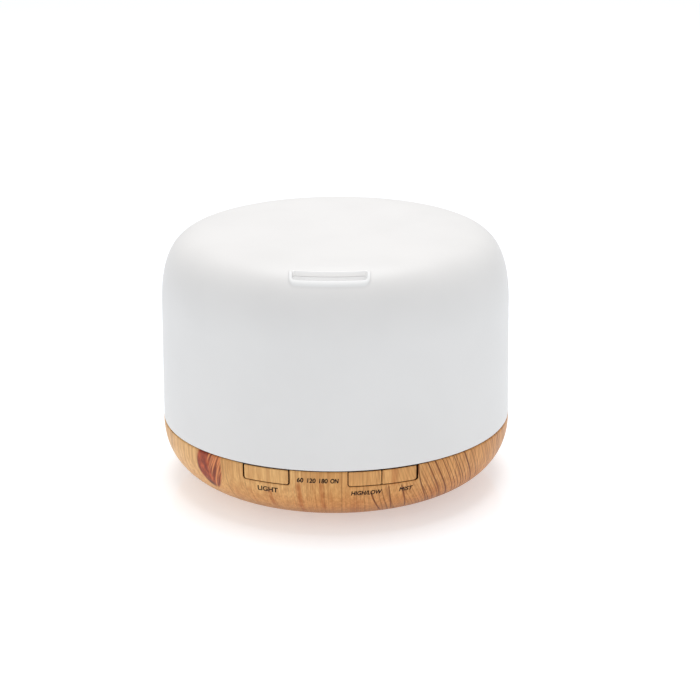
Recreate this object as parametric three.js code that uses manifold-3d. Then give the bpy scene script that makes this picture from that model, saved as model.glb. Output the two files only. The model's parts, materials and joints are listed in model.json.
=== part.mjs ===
// Ultrasonic essential oil diffuser, 500 ml class: a white lift-off cover over a water tank,
// on a round wood-grain base that holds the fan, the driver board and three push buttons.
//
// Frame: millimetres, +Z up, origin on the table under the centre of the base.
// The buttons and the mist outlet face -Y, the power socket faces +Y, the air duct is at +X.
import * as THREE from "three";
import { mergeVertices } from "three/addons/utils/BufferGeometryUtils.js";
import Module from "manifold-3d";

const wasm = await Module();
wasm.setup();

// ---------------------------------------------------------------- driving dimensions
const SEGMENTS = 48; // sides of the large turned pieces
const GAP = 0.3; // clearance between touching pieces

const BASE_R = 84; // base radius at the seam
const BASE_FOOT_R = 47.8; // base radius where it turns under
const BASE_Z = 0.7; // underside of the base above the table
const SEAM_Z = 31.0; // top rim of the base
const BASE_BOWL = 2.3; // superellipse exponent of the bowl
const BASE_WALL = 2.4;

const COVER_Z = 31.4; // bottom rim of the cover
const COVER_R = 83.9;
const COVER_TOP = 124.0;
const COVER_CAP_Z = 86.4; // where the straight wall turns into the shoulder
const COVER_CAP_R = 83.1; // radius there, after the moulding draft
const COVER_CAP_CROWN = 2.5;
const COVER_CAP_Q = 11.8; // plan exponent of the shoulder: higher is flatter on top
const COVER_CAP_P = 2.2;
const COVER_WALL = 2.2;

const SLOT = { half: 16.5, rFront: 74.4, rBack: 69.6, lip: 2.2, side: 1.5, proud: 0.6 }; // curved along the cover's circumference
const CHUTE = { wall: 1.2, zLow: 101.0 };

const TANK_FLOOR_Z = 35.0;
const TANK_R = 66.0;
const TANK_RIM_Z = 84.0;
const DECK_Z = [31.0, 33.0];
const DECK_R = 81.1;

const DUCT = { x0: 53.0, x1: 66.8, half: 13.0, wallX: 2.2, wallY: 2.0, zLow: 27.3, zTop: 90.0 };

const FAN = { x: 24.0, z0: 6.2, size: 40.0, depth: 10.0, bore: 18.6 };

const PLATE = { r: 46.0, z0: 0.7, z1: 3.1 };
const LEDGE = { r: 41.0, z0: 3.4, z1: 5.2 };
const CASE_SCREWS = [[-20, -31], [20, -31], [20, 31], [-20, 31]];
const FEET = [[-34, -20], [34, -20], [34, 20], [-34, 20]];

// Buttons: the side walls of each keycap run along Y, the way it travels.
const BUTTON = { zLow: 23.9, zTop: 30.8, flangeZ: [22.3, 30.4], wall: 2.2, stemZ: 27.2 };
const BUTTON_GAP = 0.45;
const NOTCH_Z = 23.5;
const KEYS = [
  { name: "light_button", x0: -39.35, x1: -18.95, flange: [-1.0, 1.4], stem: -29.2 },
  { name: "high_low_button", x0: 8.2, x1: 22.95, flange: [-1.4, 0], stem: 16.1 },
  { name: "mist_button", x0: 23.35, x1: 38.7, flange: [0, 1.4], stem: 31.2 },
];
const NOTCHES = [[-40.0, -18.3], [7.8, 39.5]];
const BOARD_Y = [-66.0, -64.4]; // control board, standing behind the buttons
const LEGEND_ANGLES = [-9.8, -6.45, -2.8, 0.5]; // degrees from -Y towards +X

const JACK = { z: 16.0, yFront: 77.0, yStep: 72.3, yBack: 62.0, hole: 5.0 };

// ---------------------------------------------------------------- materials
const mat = (color, roughness, metalness = 0) =>
  new THREE.MeshStandardMaterial({ color, roughness, metalness });
const M = {
  cover: mat(0xf2f2f0, 0.5),
  tank: mat(0xeeeeea, 0.45),
  wood: mat(0xd2a26a, 0.5),
  plate: mat(0xe9e6df, 0.6),
  rubber: mat(0x3a3a3a, 0.9),
  silicone: mat(0xe4e4e0, 0.7),
  steel: mat(0xb9bcc0, 0.35, 1),
  ceramic: mat(0xc8c9c6, 0.35, 0.6),
  fan: mat(0x1c1c1e, 0.5),
  pcb: mat(0x1f6b3a, 0.5),
  black: mat(0x151515, 0.6),
  alu: mat(0xc4c7ca, 0.4, 1),
  copper: mat(0xb36a36, 0.45, 0.9),
  led: mat(0xf6f3e0, 0.3),
  wire: mat(0xc8322b, 0.6),
  wireDark: mat(0x222222, 0.6),
};

// ---------------------------------------------------------------- solid helpers
function solid(geometry) {
  const g = geometry.index ? geometry.toNonIndexed() : geometry.clone();
  for (const key of Object.keys(g.attributes)) if (key !== "position") g.deleteAttribute(key);
  const merged = mergeVertices(g, 1e-4);
  const index = merged.index.array;
  const tri = [];
  for (let i = 0; i < index.length; i += 3) {
    const [a, b, c] = [index[i], index[i + 1], index[i + 2]];
    if (a !== b && b !== c && c !== a) tri.push(a, b, c);
  }
  const vertProperties = new Float32Array(merged.attributes.position.array);
  const make = (t) =>
    new wasm.Manifold(new wasm.Mesh({ numProp: 3, vertProperties, triVerts: new Uint32Array(t) }));
  const made = make(tri);
  if (made.volume() > 0) return made;
  for (let i = 0; i < tri.length; i += 3) [tri[i + 1], tri[i + 2]] = [tri[i + 2], tri[i + 1]];
  return make(tri);
}

const group = new THREE.Group();
function add(name, shape, material, at = null, parent = group) {
  const m = shape.getMesh();
  const n = m.numProp;
  const v = new Float32Array(m.numVert * 3);
  for (let i = 0; i < m.numVert; i++) v.set(m.vertProperties.subarray(i * n, i * n + 3), i * 3);
  const g = new THREE.BufferGeometry();
  g.setAttribute("position", new THREE.BufferAttribute(v, 3));
  g.setIndex(new THREE.BufferAttribute(new Uint32Array(m.triVerts), 1));
  g.computeVertexNormals();
  const mesh = new THREE.Mesh(g, material);
  mesh.name = name;
  if (at) mesh.position.set(...at);
  parent.add(mesh);
  return mesh;
}

// A solid turned about Z from [radius, height] points of a closed outline.
function turned(points, segments = SEGMENTS) {
  const onAxis = points[0][0] === 0 && points.at(-1)[0] === 0;
  const outline = onAxis ? points : [...points, points[0]];
  const g = new THREE.LatheGeometry(outline.map(([r, z]) => new THREE.Vector2(r, z)), segments);
  return solid(g.rotateX(Math.PI / 2));
}
function box(x0, x1, y0, y1, z0, z1) {
  return solid(
    new THREE.BoxGeometry(x1 - x0, y1 - y0, z1 - z0).translate((x0 + x1) / 2, (y0 + y1) / 2, (z0 + z1) / 2),
  );
}
function rod(r, z0, z1, segments = 16, x = 0, y = 0) {
  return solid(
    new THREE.CylinderGeometry(r, r, z1 - z0, segments).rotateX(Math.PI / 2).translate(x, y, (z0 + z1) / 2),
  );
}
function rodY(r, y0, y1, x, z, segments = 16) {
  return solid(new THREE.CylinderGeometry(r, r, y1 - y0, segments).translate(x, (y0 + y1) / 2, z));
}
// A flat outline in the XY plane, pulled up from z0 to z1.
function slab(points, z0, z1) {
  const shape = new THREE.Shape(points.map(([x, y]) => new THREE.Vector2(x, y)));
  return solid(
    new THREE.ExtrudeGeometry(shape, { depth: z1 - z0, bevelEnabled: false }).translate(0, 0, z0),
  );
}
// A flat outline in the XZ plane, pulled along Y.
function sideSlab(points, y0, y1) {
  const shape = new THREE.Shape(points.map(([x, z]) => new THREE.Vector2(x, z)));
  return solid(
    new THREE.ExtrudeGeometry(shape, { depth: y1 - y0, bevelEnabled: false })
      .rotateX(Math.PI / 2)
      .translate(0, y1, 0),
  );
}
function wireSolid(points, r, steps = 18) {
  const path = new THREE.CatmullRomCurve3(points.map((p) => new THREE.Vector3(...p)));
  const section = new THREE.Shape();
  const sides = 6;
  for (let i = 0; i < sides; i++) {
    const a = (i / sides) * 2 * Math.PI;
    if (i) section.lineTo(r * Math.cos(a), r * Math.sin(a));
    else section.moveTo(r * Math.cos(a), r * Math.sin(a));
  }
  return solid(new THREE.ExtrudeGeometry(section, { steps, extrudePath: path, bevelEnabled: false }));
}
const union = (...s) => s.reduce((a, b) => a.add(b));

// ---------------------------------------------------------------- outlines
// The bowl of the base: [radius, height] from the table side up to the rim.
function bowl(offset, steps, zLow = BASE_Z) {
  const out = [];
  for (let i = 0; i <= steps; i++) {
    const t = (i / steps) * (Math.PI / 2);
    const s = Math.sin(t), c = Math.cos(t), k = 2 / BASE_BOWL;
    const r = BASE_FOOT_R + (BASE_R - BASE_FOOT_R) * s ** k;
    const z = BASE_Z + (SEAM_Z - BASE_Z) * (1 - c ** k);
    out.push([r, z]);
  }
  if (!offset) return out;
  return offsetInside(out, offset).filter(([, z]) => z > zLow);
}
// The cover: [radius, height] from the bottom rim up and in to the axis.
function dome(steps) {
  const out = [[COVER_R, COVER_Z]];
  const cap = COVER_TOP - COVER_CAP_Z - COVER_CAP_CROWN;
  for (let i = 0; i <= steps; i++) {
    const t = ((i / steps) * Math.PI) / 2;
    const r = i === steps ? 0 : COVER_CAP_R * Math.cos(t) ** (2 / COVER_CAP_Q);
    const z =
      COVER_CAP_Z + cap * Math.sin(t) ** (2 / COVER_CAP_P) +
      COVER_CAP_CROWN * (1 - (r / COVER_CAP_R) ** 2);
    out.push([r, z]);
  }
  return out;
}
// Moves an outline inward, square to itself.
function offsetInside(points, d) {
  return points.map(([r, z], i) => {
    const a = points[Math.max(0, i - 1)], b = points[Math.min(points.length - 1, i + 1)];
    let dr = b[0] - a[0], dz = b[1] - a[1];
    const l = Math.hypot(dr, dz);
    dr /= l; dz /= l;
    return [Math.max(0, r - dz * d), z + dr * d];
  });
}
// Cover outline with even steps along its length, which keeps the facets small on the shoulder.
function evenDome(count) {
  const fine = dome(400);
  const length = [0];
  for (let i = 1; i < fine.length; i++)
    length.push(length[i - 1] + Math.hypot(fine[i][0] - fine[i - 1][0], fine[i][1] - fine[i - 1][1]));
  // positions along the outline: few on the straight wall and the crown, most on the shoulder
  const stops = [0];
  const wall = Math.hypot(COVER_R - COVER_CAP_R, COVER_CAP_Z - COVER_Z);
  stops.push(wall);
  const shoulder = 56;
  for (let i = 1; i <= count; i++) stops.push(wall + (shoulder * i) / count);
  stops.push(wall + shoulder + 22);
  stops.push(length.at(-1));
  return stops.map((s) => {
    let i = length.findIndex((v) => v >= s - 1e-9);
    if (i <= 0) return fine[Math.max(0, i)];
    const f = (s - length[i - 1]) / (length[i] - length[i - 1]);
    return [fine[i - 1][0] + f * (fine[i][0] - fine[i - 1][0]), fine[i - 1][1] + f * (fine[i][1] - fine[i - 1][1])];
  });
}

// ================================================================ COVER (lifts off)
const coverOut = evenDome(8);
coverOut[coverOut.length - 1] = [0, COVER_TOP];
const coverFine = evenDome(24);
coverFine[coverFine.length - 1] = [0, COVER_TOP];
// the cover's inner face, with every third point of a fine outline
const innerDome = (d) =>
  offsetInside(coverFine, d)
    .filter((_, i, all) => i < 2 || i > all.length - 3 || (i - 1) % 4 === 0)
    .map(([r, z], i, all) => (i === all.length - 1 ? [0, COVER_TOP - d] : [r, z]));
const coverIn = innerDome(COVER_WALL);
coverIn[0] = [COVER_R - COVER_WALL, COVER_Z];
// the inside step that stands on the tank deck
const coverInside = [
  ...coverIn.slice(1).reverse(),
  [COVER_R - COVER_WALL - 0.1, 37.0],
  [79.2, 36.0],
  [79.2, 33.3],
  [COVER_R - COVER_WALL, 33.3],
  [COVER_R - COVER_WALL, COVER_Z],
];
let cover = turned([...coverOut, ...coverInside].map(([r, z]) => [r < 1e-6 ? 0 : r, z]));

// raised lip round the mist slot, following the shoulder
const proud = (() => {
  const out = coverOut.map(([r, z], i) => [r, z]);
  const shifted = offsetInside(out, -SLOT.proud);
  shifted[shifted.length - 1] = [0, COVER_TOP + SLOT.proud];
  return turned([...shifted, [0, COVER_TOP - 20], [COVER_CAP_R - 20, COVER_Z]]);
})();
// a block at the front that follows the circumference between two radii
const arcBlock = (half, r0, r1, z0, z1) =>
  turned([[r0, z0], [r1, z0], [r1, z1], [r0, z1]]).intersect(box(-half, half, -90, -50, z0 - 1, z1 + 1));
const lipBlock = arcBlock(SLOT.half + SLOT.side, SLOT.rBack + 0.2, SLOT.rFront + SLOT.lip, 108, 124);
const lip = proud.intersect(lipBlock).subtract(
  turned([[0, 90], ...offsetInside(coverOut, 1.0).slice(1, -1), [0, COVER_TOP - 1.0]]),
);
cover = cover.add(lip).subtract(arcBlock(SLOT.half, SLOT.rBack, SLOT.rFront, 100, 130));
add("outer_cover", cover, M.cover);

// mist chute, a curved tube fixed under the slot
const underCover = turned(
  [[0, 60], [COVER_CAP_R - 6, 60], ...innerDome(COVER_WALL + GAP).slice(1)],
);
{
  const w = CHUTE.wall, h = SLOT.half + 0.4, rf = SLOT.rFront + 0.3, rb = SLOT.rBack - 0.3;
  let chute = arcBlock(h + w, rb - w, rf + w, CHUTE.zLow, 124);
  // a flange glued to the inside of the cover behind the slot
  chute = chute.add(arcBlock(h + w + 3, rb - w - 5, rb - w + 0.5, 112, 124));
  chute = chute.intersect(underCover);
  const below = turned(
    [[0, 50], [COVER_CAP_R - 8, 50], ...innerDome(COVER_WALL + GAP + 1.4).slice(1)],
  );
  const tube = arcBlock(h + w, rb - w, rf + w, CHUTE.zLow, 124);
  chute = chute.subtract(below.subtract(tube));
  chute = chute.subtract(arcBlock(h, rb, rf, 90, 130));
  add("mist_chute", chute, M.cover);
}

// ================================================================ TANK
{
  let tank = turned([
    [8.0, 29.2], [8.0, 31.2], [15.0, 32.2], [18.0, TANK_FLOOR_Z], [61.0, 37.0],
    [TANK_R, 41.0], [67.2, TANK_RIM_Z], [69.2, TANK_RIM_Z],
    [68.3, DECK_Z[1]], [DECK_R, DECK_Z[1]], [DECK_R, DECK_Z[0]], [66.5, DECK_Z[0]], [62.0, 34.6],
    [19.5, 32.8], [17.0, 29.2], [14.6, 29.2], [14.6, 25.7], [12.4, 25.7], [12.4, 29.2],
  ]);
  // chimney that carries the fan's air up past the water line
  tank = tank.add(box(DUCT.x0, DUCT.x1, -DUCT.half, DUCT.half, DUCT.zLow, DUCT.zTop));
  // bosses for the transducer clamp
  for (const y of [-17.6, 17.6]) tank = tank.add(rod(2.9, 25.7, 31.5, 12, 0, y));
  // posts for the case screws, down to the bottom plate's ledge
  for (const [x, y] of CASE_SCREWS) tank = tank.add(rod(3.5, 3.5, 34.6, 12, x, y));
  // posts for the driver board
  for (const [x, y] of [[-57, 0], [-30, 20]]) tank = tank.add(rod(2.6, 14.3, 34.4, 12, x, y));
  // stakes that carry the ring of lights
  for (const deg of [45, 135, 225, 315]) {
    const x = 27.8 * Math.cos((deg * Math.PI) / 180), y = 27.8 * Math.sin((deg * Math.PI) / 180);
    tank = tank.add(rod(2.0, 29.7, 34.0, 8, x, y)).add(rod(1.0, 27.5, 30.0, 8, x, y));
  }
  // ribs that hold the control board by its ends
  for (const [x0, x1] of [[-41.5, -37.9], [37.9, 41.5]]) {
    tank = tank.add(box(x0, x1, -66.1, -62.9, 20.0, 31.5));
  }
  tank = tank.subtract(box(-38.8, 38.8, BOARD_Y[0] - GAP, BOARD_Y[1] + GAP, 19.0, 30.6));
  tank = tank.subtract(
    box(DUCT.x0 + DUCT.wallX, DUCT.x1 - DUCT.wallX, -DUCT.half + DUCT.wallY, DUCT.half - DUCT.wallY, 20, 95),
  );
  // pilot holes
  for (const [x, y] of CASE_SCREWS) tank = tank.subtract(rod(1.65, 3.0, 16.0, 8, x, y));
  for (const y of [-17.6, 17.6]) tank = tank.subtract(rod(1.35, 25.0, 30.6, 8, 0, y));
  for (const [x, y] of [[-57, 0], [-30, 20]]) tank = tank.subtract(rod(1.35, 14.0, 20.0, 8, x, y));
  add("water_tank", tank, M.tank);
}

// hood over the chimney: two cheeks and a roof, open towards the tank and the wall
{
  const x0 = DUCT.x0 + 0.2, x1 = 64.4, h = DUCT.half;
  let hood = box(x0, x1, -h - 1.7, h + 1.7, 80.5, 98.4);
  hood = hood.subtract(box(x0 - 2, x1 + 2, -h - GAP, h + GAP, 70, 96.8));
  // ribs that stop it on the chimney's rim
  for (const s of [-1, 1]) {
    const y0 = s > 0 ? h - 1.5 : -h - GAP - 0.2, y1 = s > 0 ? h + GAP + 0.2 : -h + 1.5;
    hood = hood.add(box(x0 + 4, x1 - 4, y0, y1, 90.3, 92.0));
  }
  add("air_duct_hood", hood, M.tank);
}

// ================================================================ TRANSDUCER
add(
  "transducer_gasket",
  turned([[8.8, 25.9], [8.8, 26.6], [10.4, 26.6], [10.4, 28.2], [8.8, 28.2], [8.8, 28.9], [12.1, 28.9], [12.1, 25.9]], 24),
  M.silicone,
);
add("ultrasonic_transducer", turned([[0, 26.9], [0, 27.9], [10.0, 27.9], [10.0, 26.9]], 24), M.ceramic);
{
  let clamp = turned([[8.9, 24.3], [8.9, 25.4], [13.0, 25.4], [13.0, 24.3]], 24);
  for (const s of [-1, 1]) {
    clamp = clamp.add(rod(3.2, 24.3, 25.4, 12, 0, s * 17.6));
    clamp = clamp.add(s > 0 ? box(-3.2, 3.2, 11.5, 17.6, 24.3, 25.4) : box(-3.2, 3.2, -17.6, -11.5, 24.3, 25.4));
  }
  for (const y of [-17.6, 17.6]) clamp = clamp.subtract(rod(1.5, 24.0, 26.0, 8, 0, y));
  add("transducer_clamp", clamp, M.steel);
}

// A pan-head screw pointing up: head from z = 0 down, shank up.
function screw(headR, headH, shankR, length) {
  return turned([[0, -headH], [headR * 0.85, -headH], [headR, 0], [shankR, 0], [shankR, length], [0, length]], 8)
    .subtract(box(-headR * 0.55, headR * 0.55, -0.3, 0.3, -headH - 1, -headH * 0.45))
    .subtract(box(-0.3, 0.3, -headR * 0.55, headR * 0.55, -headH - 1, -headH * 0.45));
}
for (const [i, y] of [-17.6, 17.6].entries())
  add(`clamp_screw_${i + 1}`, screw(2.3, 1.4, 1.0, 6.0), M.steel, [0, y, 24.0]);

// ================================================================ LIGHT RING
{
  let ring = turned([[22.0, 28.0], [22.0, 29.4], [33.5, 29.4], [33.5, 28.0]], 32);
  for (const [x, y] of CASE_SCREWS) ring = ring.subtract(rod(4.0, 27, 31, 12, x, y));
  ring = ring.subtract(rod(3.1, 27, 31, 8, -30, 20));
  for (const deg of [45, 135, 225, 315])
    ring = ring.subtract(rod(1.4, 27, 31, 8, 27.8 * Math.cos((deg * Math.PI) / 180), 27.8 * Math.sin((deg * Math.PI) / 180)));
  add("led_ring_board", ring, M.pcb);
  for (const [i, deg] of [0, 90, 180, 270].entries()) {
    const a = THREE.MathUtils.degToRad(deg);
    const led = add(`light_led_${i + 1}`, box(-2.5, 2.5, -2.5, 2.5, 0, 1.6), M.led, [27.8 * Math.cos(a), 27.8 * Math.sin(a), 29.7]);
    led.rotation.z = a;
  }
}

// ================================================================ AIR PATH
{
  // channel from the fan to the foot of the chimney
  const outer = sideSlab([[3.8, 16.5], [67.0, 16.5], [67.0, 27.0], [31.0, 27.0], [17.6, 21.8], [3.8, 19.4]], -20.5, 20.5);
  const inner = sideSlab([[5.6, 10.0], [44.4, 10.0], [44.4, 18.2], [65.2, 18.2], [65.2, 25.2], [31.4, 25.2], [18.2, 20.0], [5.6, 18.0]], -18.7, 18.7);
  let channel = outer.subtract(inner);
  channel = channel.subtract(box(DUCT.x0 + DUCT.wallX, DUCT.x1 - DUCT.wallX - 0.4, -DUCT.half + DUCT.wallY, DUCT.half - DUCT.wallY, 24, 30));
  for (const [x, y] of [[20, -31], [20, 31]]) channel = channel.subtract(rod(3.8, 10, 40, 16, x, y));
  add("air_channel", channel, M.plate);
}
{
  const { x, z0, size, depth, bore } = FAN, h = size / 2;
  const c = 3.0;
  const outline = [[-h + c, -h], [h - c, -h], [h, -h + c], [h, h - c], [h - c, h], [-h + c, h], [-h, h - c], [-h, -h + c]];
  let frame = slab(outline.map(([a, b]) => [a + x, b]), z0, z0 + depth);
  frame = frame.subtract(rod(bore, z0 - 1, z0 + depth + 1, 32, x, 0));
  // motor cup on three struts
  let hub = rod(9.2, z0 + 8.6, z0 + depth, 20, x, 0).add(rod(3.0, z0 + 3.2, z0 + 9.2, 12, x, 0));
  for (let i = 0; i < 3; i++) {
    const strut = solid(
      new THREE.BoxGeometry(11, 2.2, 1.3).translate(13.6, 0, z0 + depth - 0.65).rotateZ((i * 2 * Math.PI) / 3 + Math.PI / 3).translate(x, 0, 0),
    );
    hub = hub.add(strut);
  }
  frame = frame.add(hub);
  frame = frame.subtract(rod(1.35, z0 + 0, z0 + 7.6, 10, x, 0));
  for (const [a, b] of [[-16, -16], [16, -16], [16, 16], [-16, 16]])
    frame = frame.subtract(rod(1.75, z0 - 1, z0 + depth + 1, 8, x + a, b));
  add("fan_frame", frame, M.fan);

  // rotor: a cup with seven blades and its shaft
  let rotor = turned([[0, 0.3], [8.6, 0.3], [9.6, 1.0], [9.6, 7.9], [8.4, 7.9], [8.4, 1.9], [1.0, 1.9], [1.0, 7.0], [0, 7.0]], 20);
  for (let i = 0; i < 7; i++) {
    const blade = new THREE.BoxGeometry(8.6, 8.8, 1.0, 1, 1, 1).rotateX(THREE.MathUtils.degToRad(38));
    blade.translate(9.2 + 4.2, 0, 4.4).rotateZ((i * 2 * Math.PI) / 7);
    rotor = rotor.add(solid(blade));
  }
  rotor = rotor.intersect(rod(17.8, 0.2, 8.2, 28));
  rotor = rotor.subtract(rod(8.4, 1.9, 9, 20).subtract(rod(1.0, 1.0, 10, 20)));
  add("fan_rotor", rotor, M.fan, [x, 0, z0]);
}
for (const [i, [a, b]] of [[-16, 16], [-16, -16]].entries())
  add(`fan_screw_${i + 1}`, screw(2.6, 1.5, 1.35, 13.0), M.steel, [FAN.x + a, b, 2.6]);

// ================================================================ BASE
{
  const out = bowl(0, 9);
  const inn = bowl(BASE_WALL, 7, LEDGE.z1 + 0.6);
  let shell = turned([
    [PLATE.r + GAP, BASE_Z], ...out, [BASE_R - BASE_WALL, SEAM_Z],
    ...inn.slice(0, -1).reverse(),
    [LEDGE.r + 12, LEDGE.z1], [LEDGE.r, LEDGE.z1], [LEDGE.r, LEDGE.z0], [PLATE.r + GAP, LEDGE.z0],
  ]);
  // ledge inside the rim that carries the tank deck, left out behind the buttons
  const ledge = turned([[78.6, 28.4], [78.6, 30.6], [82.4, 30.6], [82.4, 25.4]]);
  const front = slab([[0, 0], [-70, -84], [70, -84]], 20, 40);
  shell = shell.add(ledge.subtract(front));
  for (const [x0, x1] of NOTCHES) shell = shell.subtract(box(x0, x1, -90, -66, NOTCH_Z, 40));
  // thin windows behind the legends, for the indicator lights
  for (const deg of LEGEND_ANGLES) {
    const a = THREE.MathUtils.degToRad(deg - 90);
    shell = shell.subtract(
      solid(new THREE.BoxGeometry(4, 3.0, 3.0).rotateZ(a).translate(80.9 * Math.cos(a), 80.9 * Math.sin(a), 26.3)),
    );
  }
  // cradle for the power socket: a block with a pocket, open on top and towards the hole
  let cradle = box(-6.6, 6.6, JACK.yBack - 1.8, 80, LEDGE.z0 + 0.4, JACK.z + 2.0)
    .subtract(box(-4.9, 4.9, JACK.yBack - GAP, 82, JACK.z - 5.5, 40))
    .subtract(box(-2.4, 2.4, 50, 64, JACK.z - 5.5, 40));
  const bowlFill = turned([[0, BASE_Z + 1.0], ...offsetInside(out, 1.0).slice(0, -1), [BASE_R - 1.2, SEAM_Z - 1], [0, SEAM_Z - 1]]);
  shell = shell.add(cradle.intersect(bowlFill));
  shell = shell.subtract(rodY(JACK.hole, 72.6, 90, 0, JACK.z, 24));
  add("base_shell", shell, M.wood);
}
{
  let plate = turned([[0, PLATE.z0], [0, PLATE.z1], [PLATE.r, PLATE.z1], [PLATE.r, PLATE.z0 + 0.5], [PLATE.r - 0.5, PLATE.z0]], 40);
  // air inlet: rows of straight slots under the fan
  for (let i = -3; i <= 3; i++) {
    const y = i * 4.4, half = Math.sqrt(16.4 ** 2 - y * y);
    plate = plate.subtract(box(FAN.x - half, FAN.x + half, y - 1.2, y + 1.2, 0, 5));
  }
  plate = plate.add(box(FAN.x - 1.1, FAN.x + 1.1, -16, 16, PLATE.z0 + 0.4, PLATE.z1));
  // counterbores and holes for the case screws
  for (const [x, y] of CASE_SCREWS)
    plate = plate.subtract(rod(3.2, 0.5, 2.1, 12, x, y)).subtract(rod(1.9, 0, 5, 8, x, y));
  for (const [x, y] of FEET) plate = plate.subtract(rod(4.9, 0.5, 2.0, 16, x, y));
  // pillars that lift the fan off the grille, with holes for its screws
  for (const [a, b] of [[-16, 16], [-16, -16]]) {
    plate = plate.add(rod(3.9, PLATE.z1 - 0.5, FAN.z0 - GAP, 12, FAN.x + a, b));
    plate = plate.subtract(rod(1.75, 0, 8, 8, FAN.x + a, b)).subtract(rod(3.1, 0.5, 2.9, 12, FAN.x + a, b));
  }
  for (const b of [-16, 16]) plate = plate.add(rod(2.2, PLATE.z1 - 0.5, FAN.z0 - GAP, 8, FAN.x + 10, b));
  add("bottom_plate", plate, M.plate);
}
for (const [i, [x, y]] of FEET.entries())
  add(`rubber_foot_${i + 1}`, turned([[0, 0], [3.7, 0], [4.5, 0.5], [4.5, 1.7], [0, 1.7]], 16), M.rubber, [x, y, 0]);
for (const [i, [x, y]] of CASE_SCREWS.entries())
  add(`case_screw_${i + 1}`, screw(2.8, 1.0, 1.3, 13.0), M.steel, [x, y, 1.8]);

// ================================================================ BUTTONS
for (const key of KEYS) {
  // a ring of the bowl's wall, cut down to the keycap
  const outerPts = bowl(0, 16).filter(([, z]) => z > 18);
  const ringOf = (inner, outer) => {
    const a = offsetInside(outerPts, outer), b = offsetInside(outerPts, inner);
    return turned([...a, ...b.reverse()], 96);
  };
  const capRing = ringOf(BASE_WALL + 0.9, 0);
  const flangeRing = ringOf(BASE_WALL + GAP + 1.65, BASE_WALL + GAP + 0.35);
  let cap = capRing.intersect(box(key.x0, key.x1, -90, -60, BUTTON.zLow, BUTTON.zTop));
  const flange = flangeRing.intersect(
    box(key.x0 + key.flange[0], key.x1 + key.flange[1], -90, -60, BUTTON.flangeZ[0], BUTTON.flangeZ[1]),
  );
  // stem towards the switch, a plus sign in section
  const yTip = -71.9, yCap = -Math.sqrt(81.2 ** 2 - key.stem ** 2) + 0.4, z = BUTTON.stemZ;
  const stem = box(key.stem - 2.2, key.stem + 2.2, yCap, yTip, z - 0.7, z + 0.7).add(
    box(key.stem - 0.7, key.stem + 0.7, yCap, yTip, z - 2.2, z + 2.2),
  );
  cap = union(cap, flange, stem);
  add(key.name, cap, M.wood);
  // switch on the control board
  const tag = key.name.replace("_button", "");
  let body = box(-3.1, 3.1, -3.5, 0, -3.1, 3.1).subtract(rodY(2.05, -5, -0.5, 0, 0, 12));
  add(`${tag}_switch`, body, M.black, [key.stem, BOARD_Y[0] - GAP, z]);
  add(`${tag}_switch_plunger`, rodY(1.7, 0, 3.6, 0, 0, 12), M.steel, [key.stem, -71.6, z]);
}

// control board with its indicator lights
add("control_board", box(-38.5, 38.5, BOARD_Y[0], BOARD_Y[1], 19.3, 30.3), M.pcb);
for (const [i, deg] of LEGEND_ANGLES.entries()) {
  const x = 84 * Math.sin(THREE.MathUtils.degToRad(deg));
  const yWall = -Math.sqrt(78.9 ** 2 - x * x);
  const led = rodY(1.4, yWall + 1.2, BOARD_Y[0] - GAP, x, 26.3, 8);
  add(`indicator_led_${i + 1}`, led, M.led);
}

// ================================================================ DRIVER BOARD
{
  let board = box(-63.0, -24.2, -30, 30, 12.4, 14.0);
  for (const [x, y] of [[-57, 0], [-30, 20]]) board = board.subtract(rod(1.6, 12, 15, 8, x, y));
  add("driver_board", board, M.pcb);
  for (const [i, [x, y]] of [[-57, 0], [-30, 20]].entries())
    add(`driver_board_screw_${i + 1}`, screw(2.3, 1.4, 1.0, 6.0), M.steel, [x, y, 12.1]);
  // finned heat sink
  let sink = box(-40, -26, -27, -3, 14.3, 16.3);
  for (let i = 0; i < 5; i++) sink = sink.add(box(-40 + i * 3.1, -38.4 + i * 3.1, -27, -3, 16.0, 27.0));
  add("heat_sink", sink, M.alu);
  add("drive_transistor", box(-52, -42, -26, -21.4, 14.3, 25.0), M.black);
  add("boost_inductor", turned([[0, 14.3], [5.0, 14.3], [6.0, 15.3], [6.0, 22.3], [5.0, 23.3], [0, 23.3]], 16), M.copper, [-48.5, -10.5, 0]);
  add("filter_capacitor", turned([[0, 14.3], [4.0, 14.3], [4.0, 27.3], [0, 27.3]], 16), M.black, [-50, 22, 0]);
  add("control_chip", box(-48, -38, 5, 11, 14.3, 16.0), M.black);
}

// ================================================================ POWER SOCKET
{
  let body = box(-4.6, 4.6, JACK.yBack, JACK.yStep, JACK.z - 5.2, JACK.z + 4.8).add(rodY(4.6, 70.0, JACK.yFront, 0, JACK.z, 24));
  body = body.subtract(rodY(3.15, 67.0, 90, 0, JACK.z, 20)).subtract(rodY(1.35, 60, 70, 0, JACK.z, 10));
  add("power_socket", body, M.black);
  add("power_socket_pin", rodY(1.0, 62.5, JACK.yFront - 1.4, 0, JACK.z, 10), M.steel);
}

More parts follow.
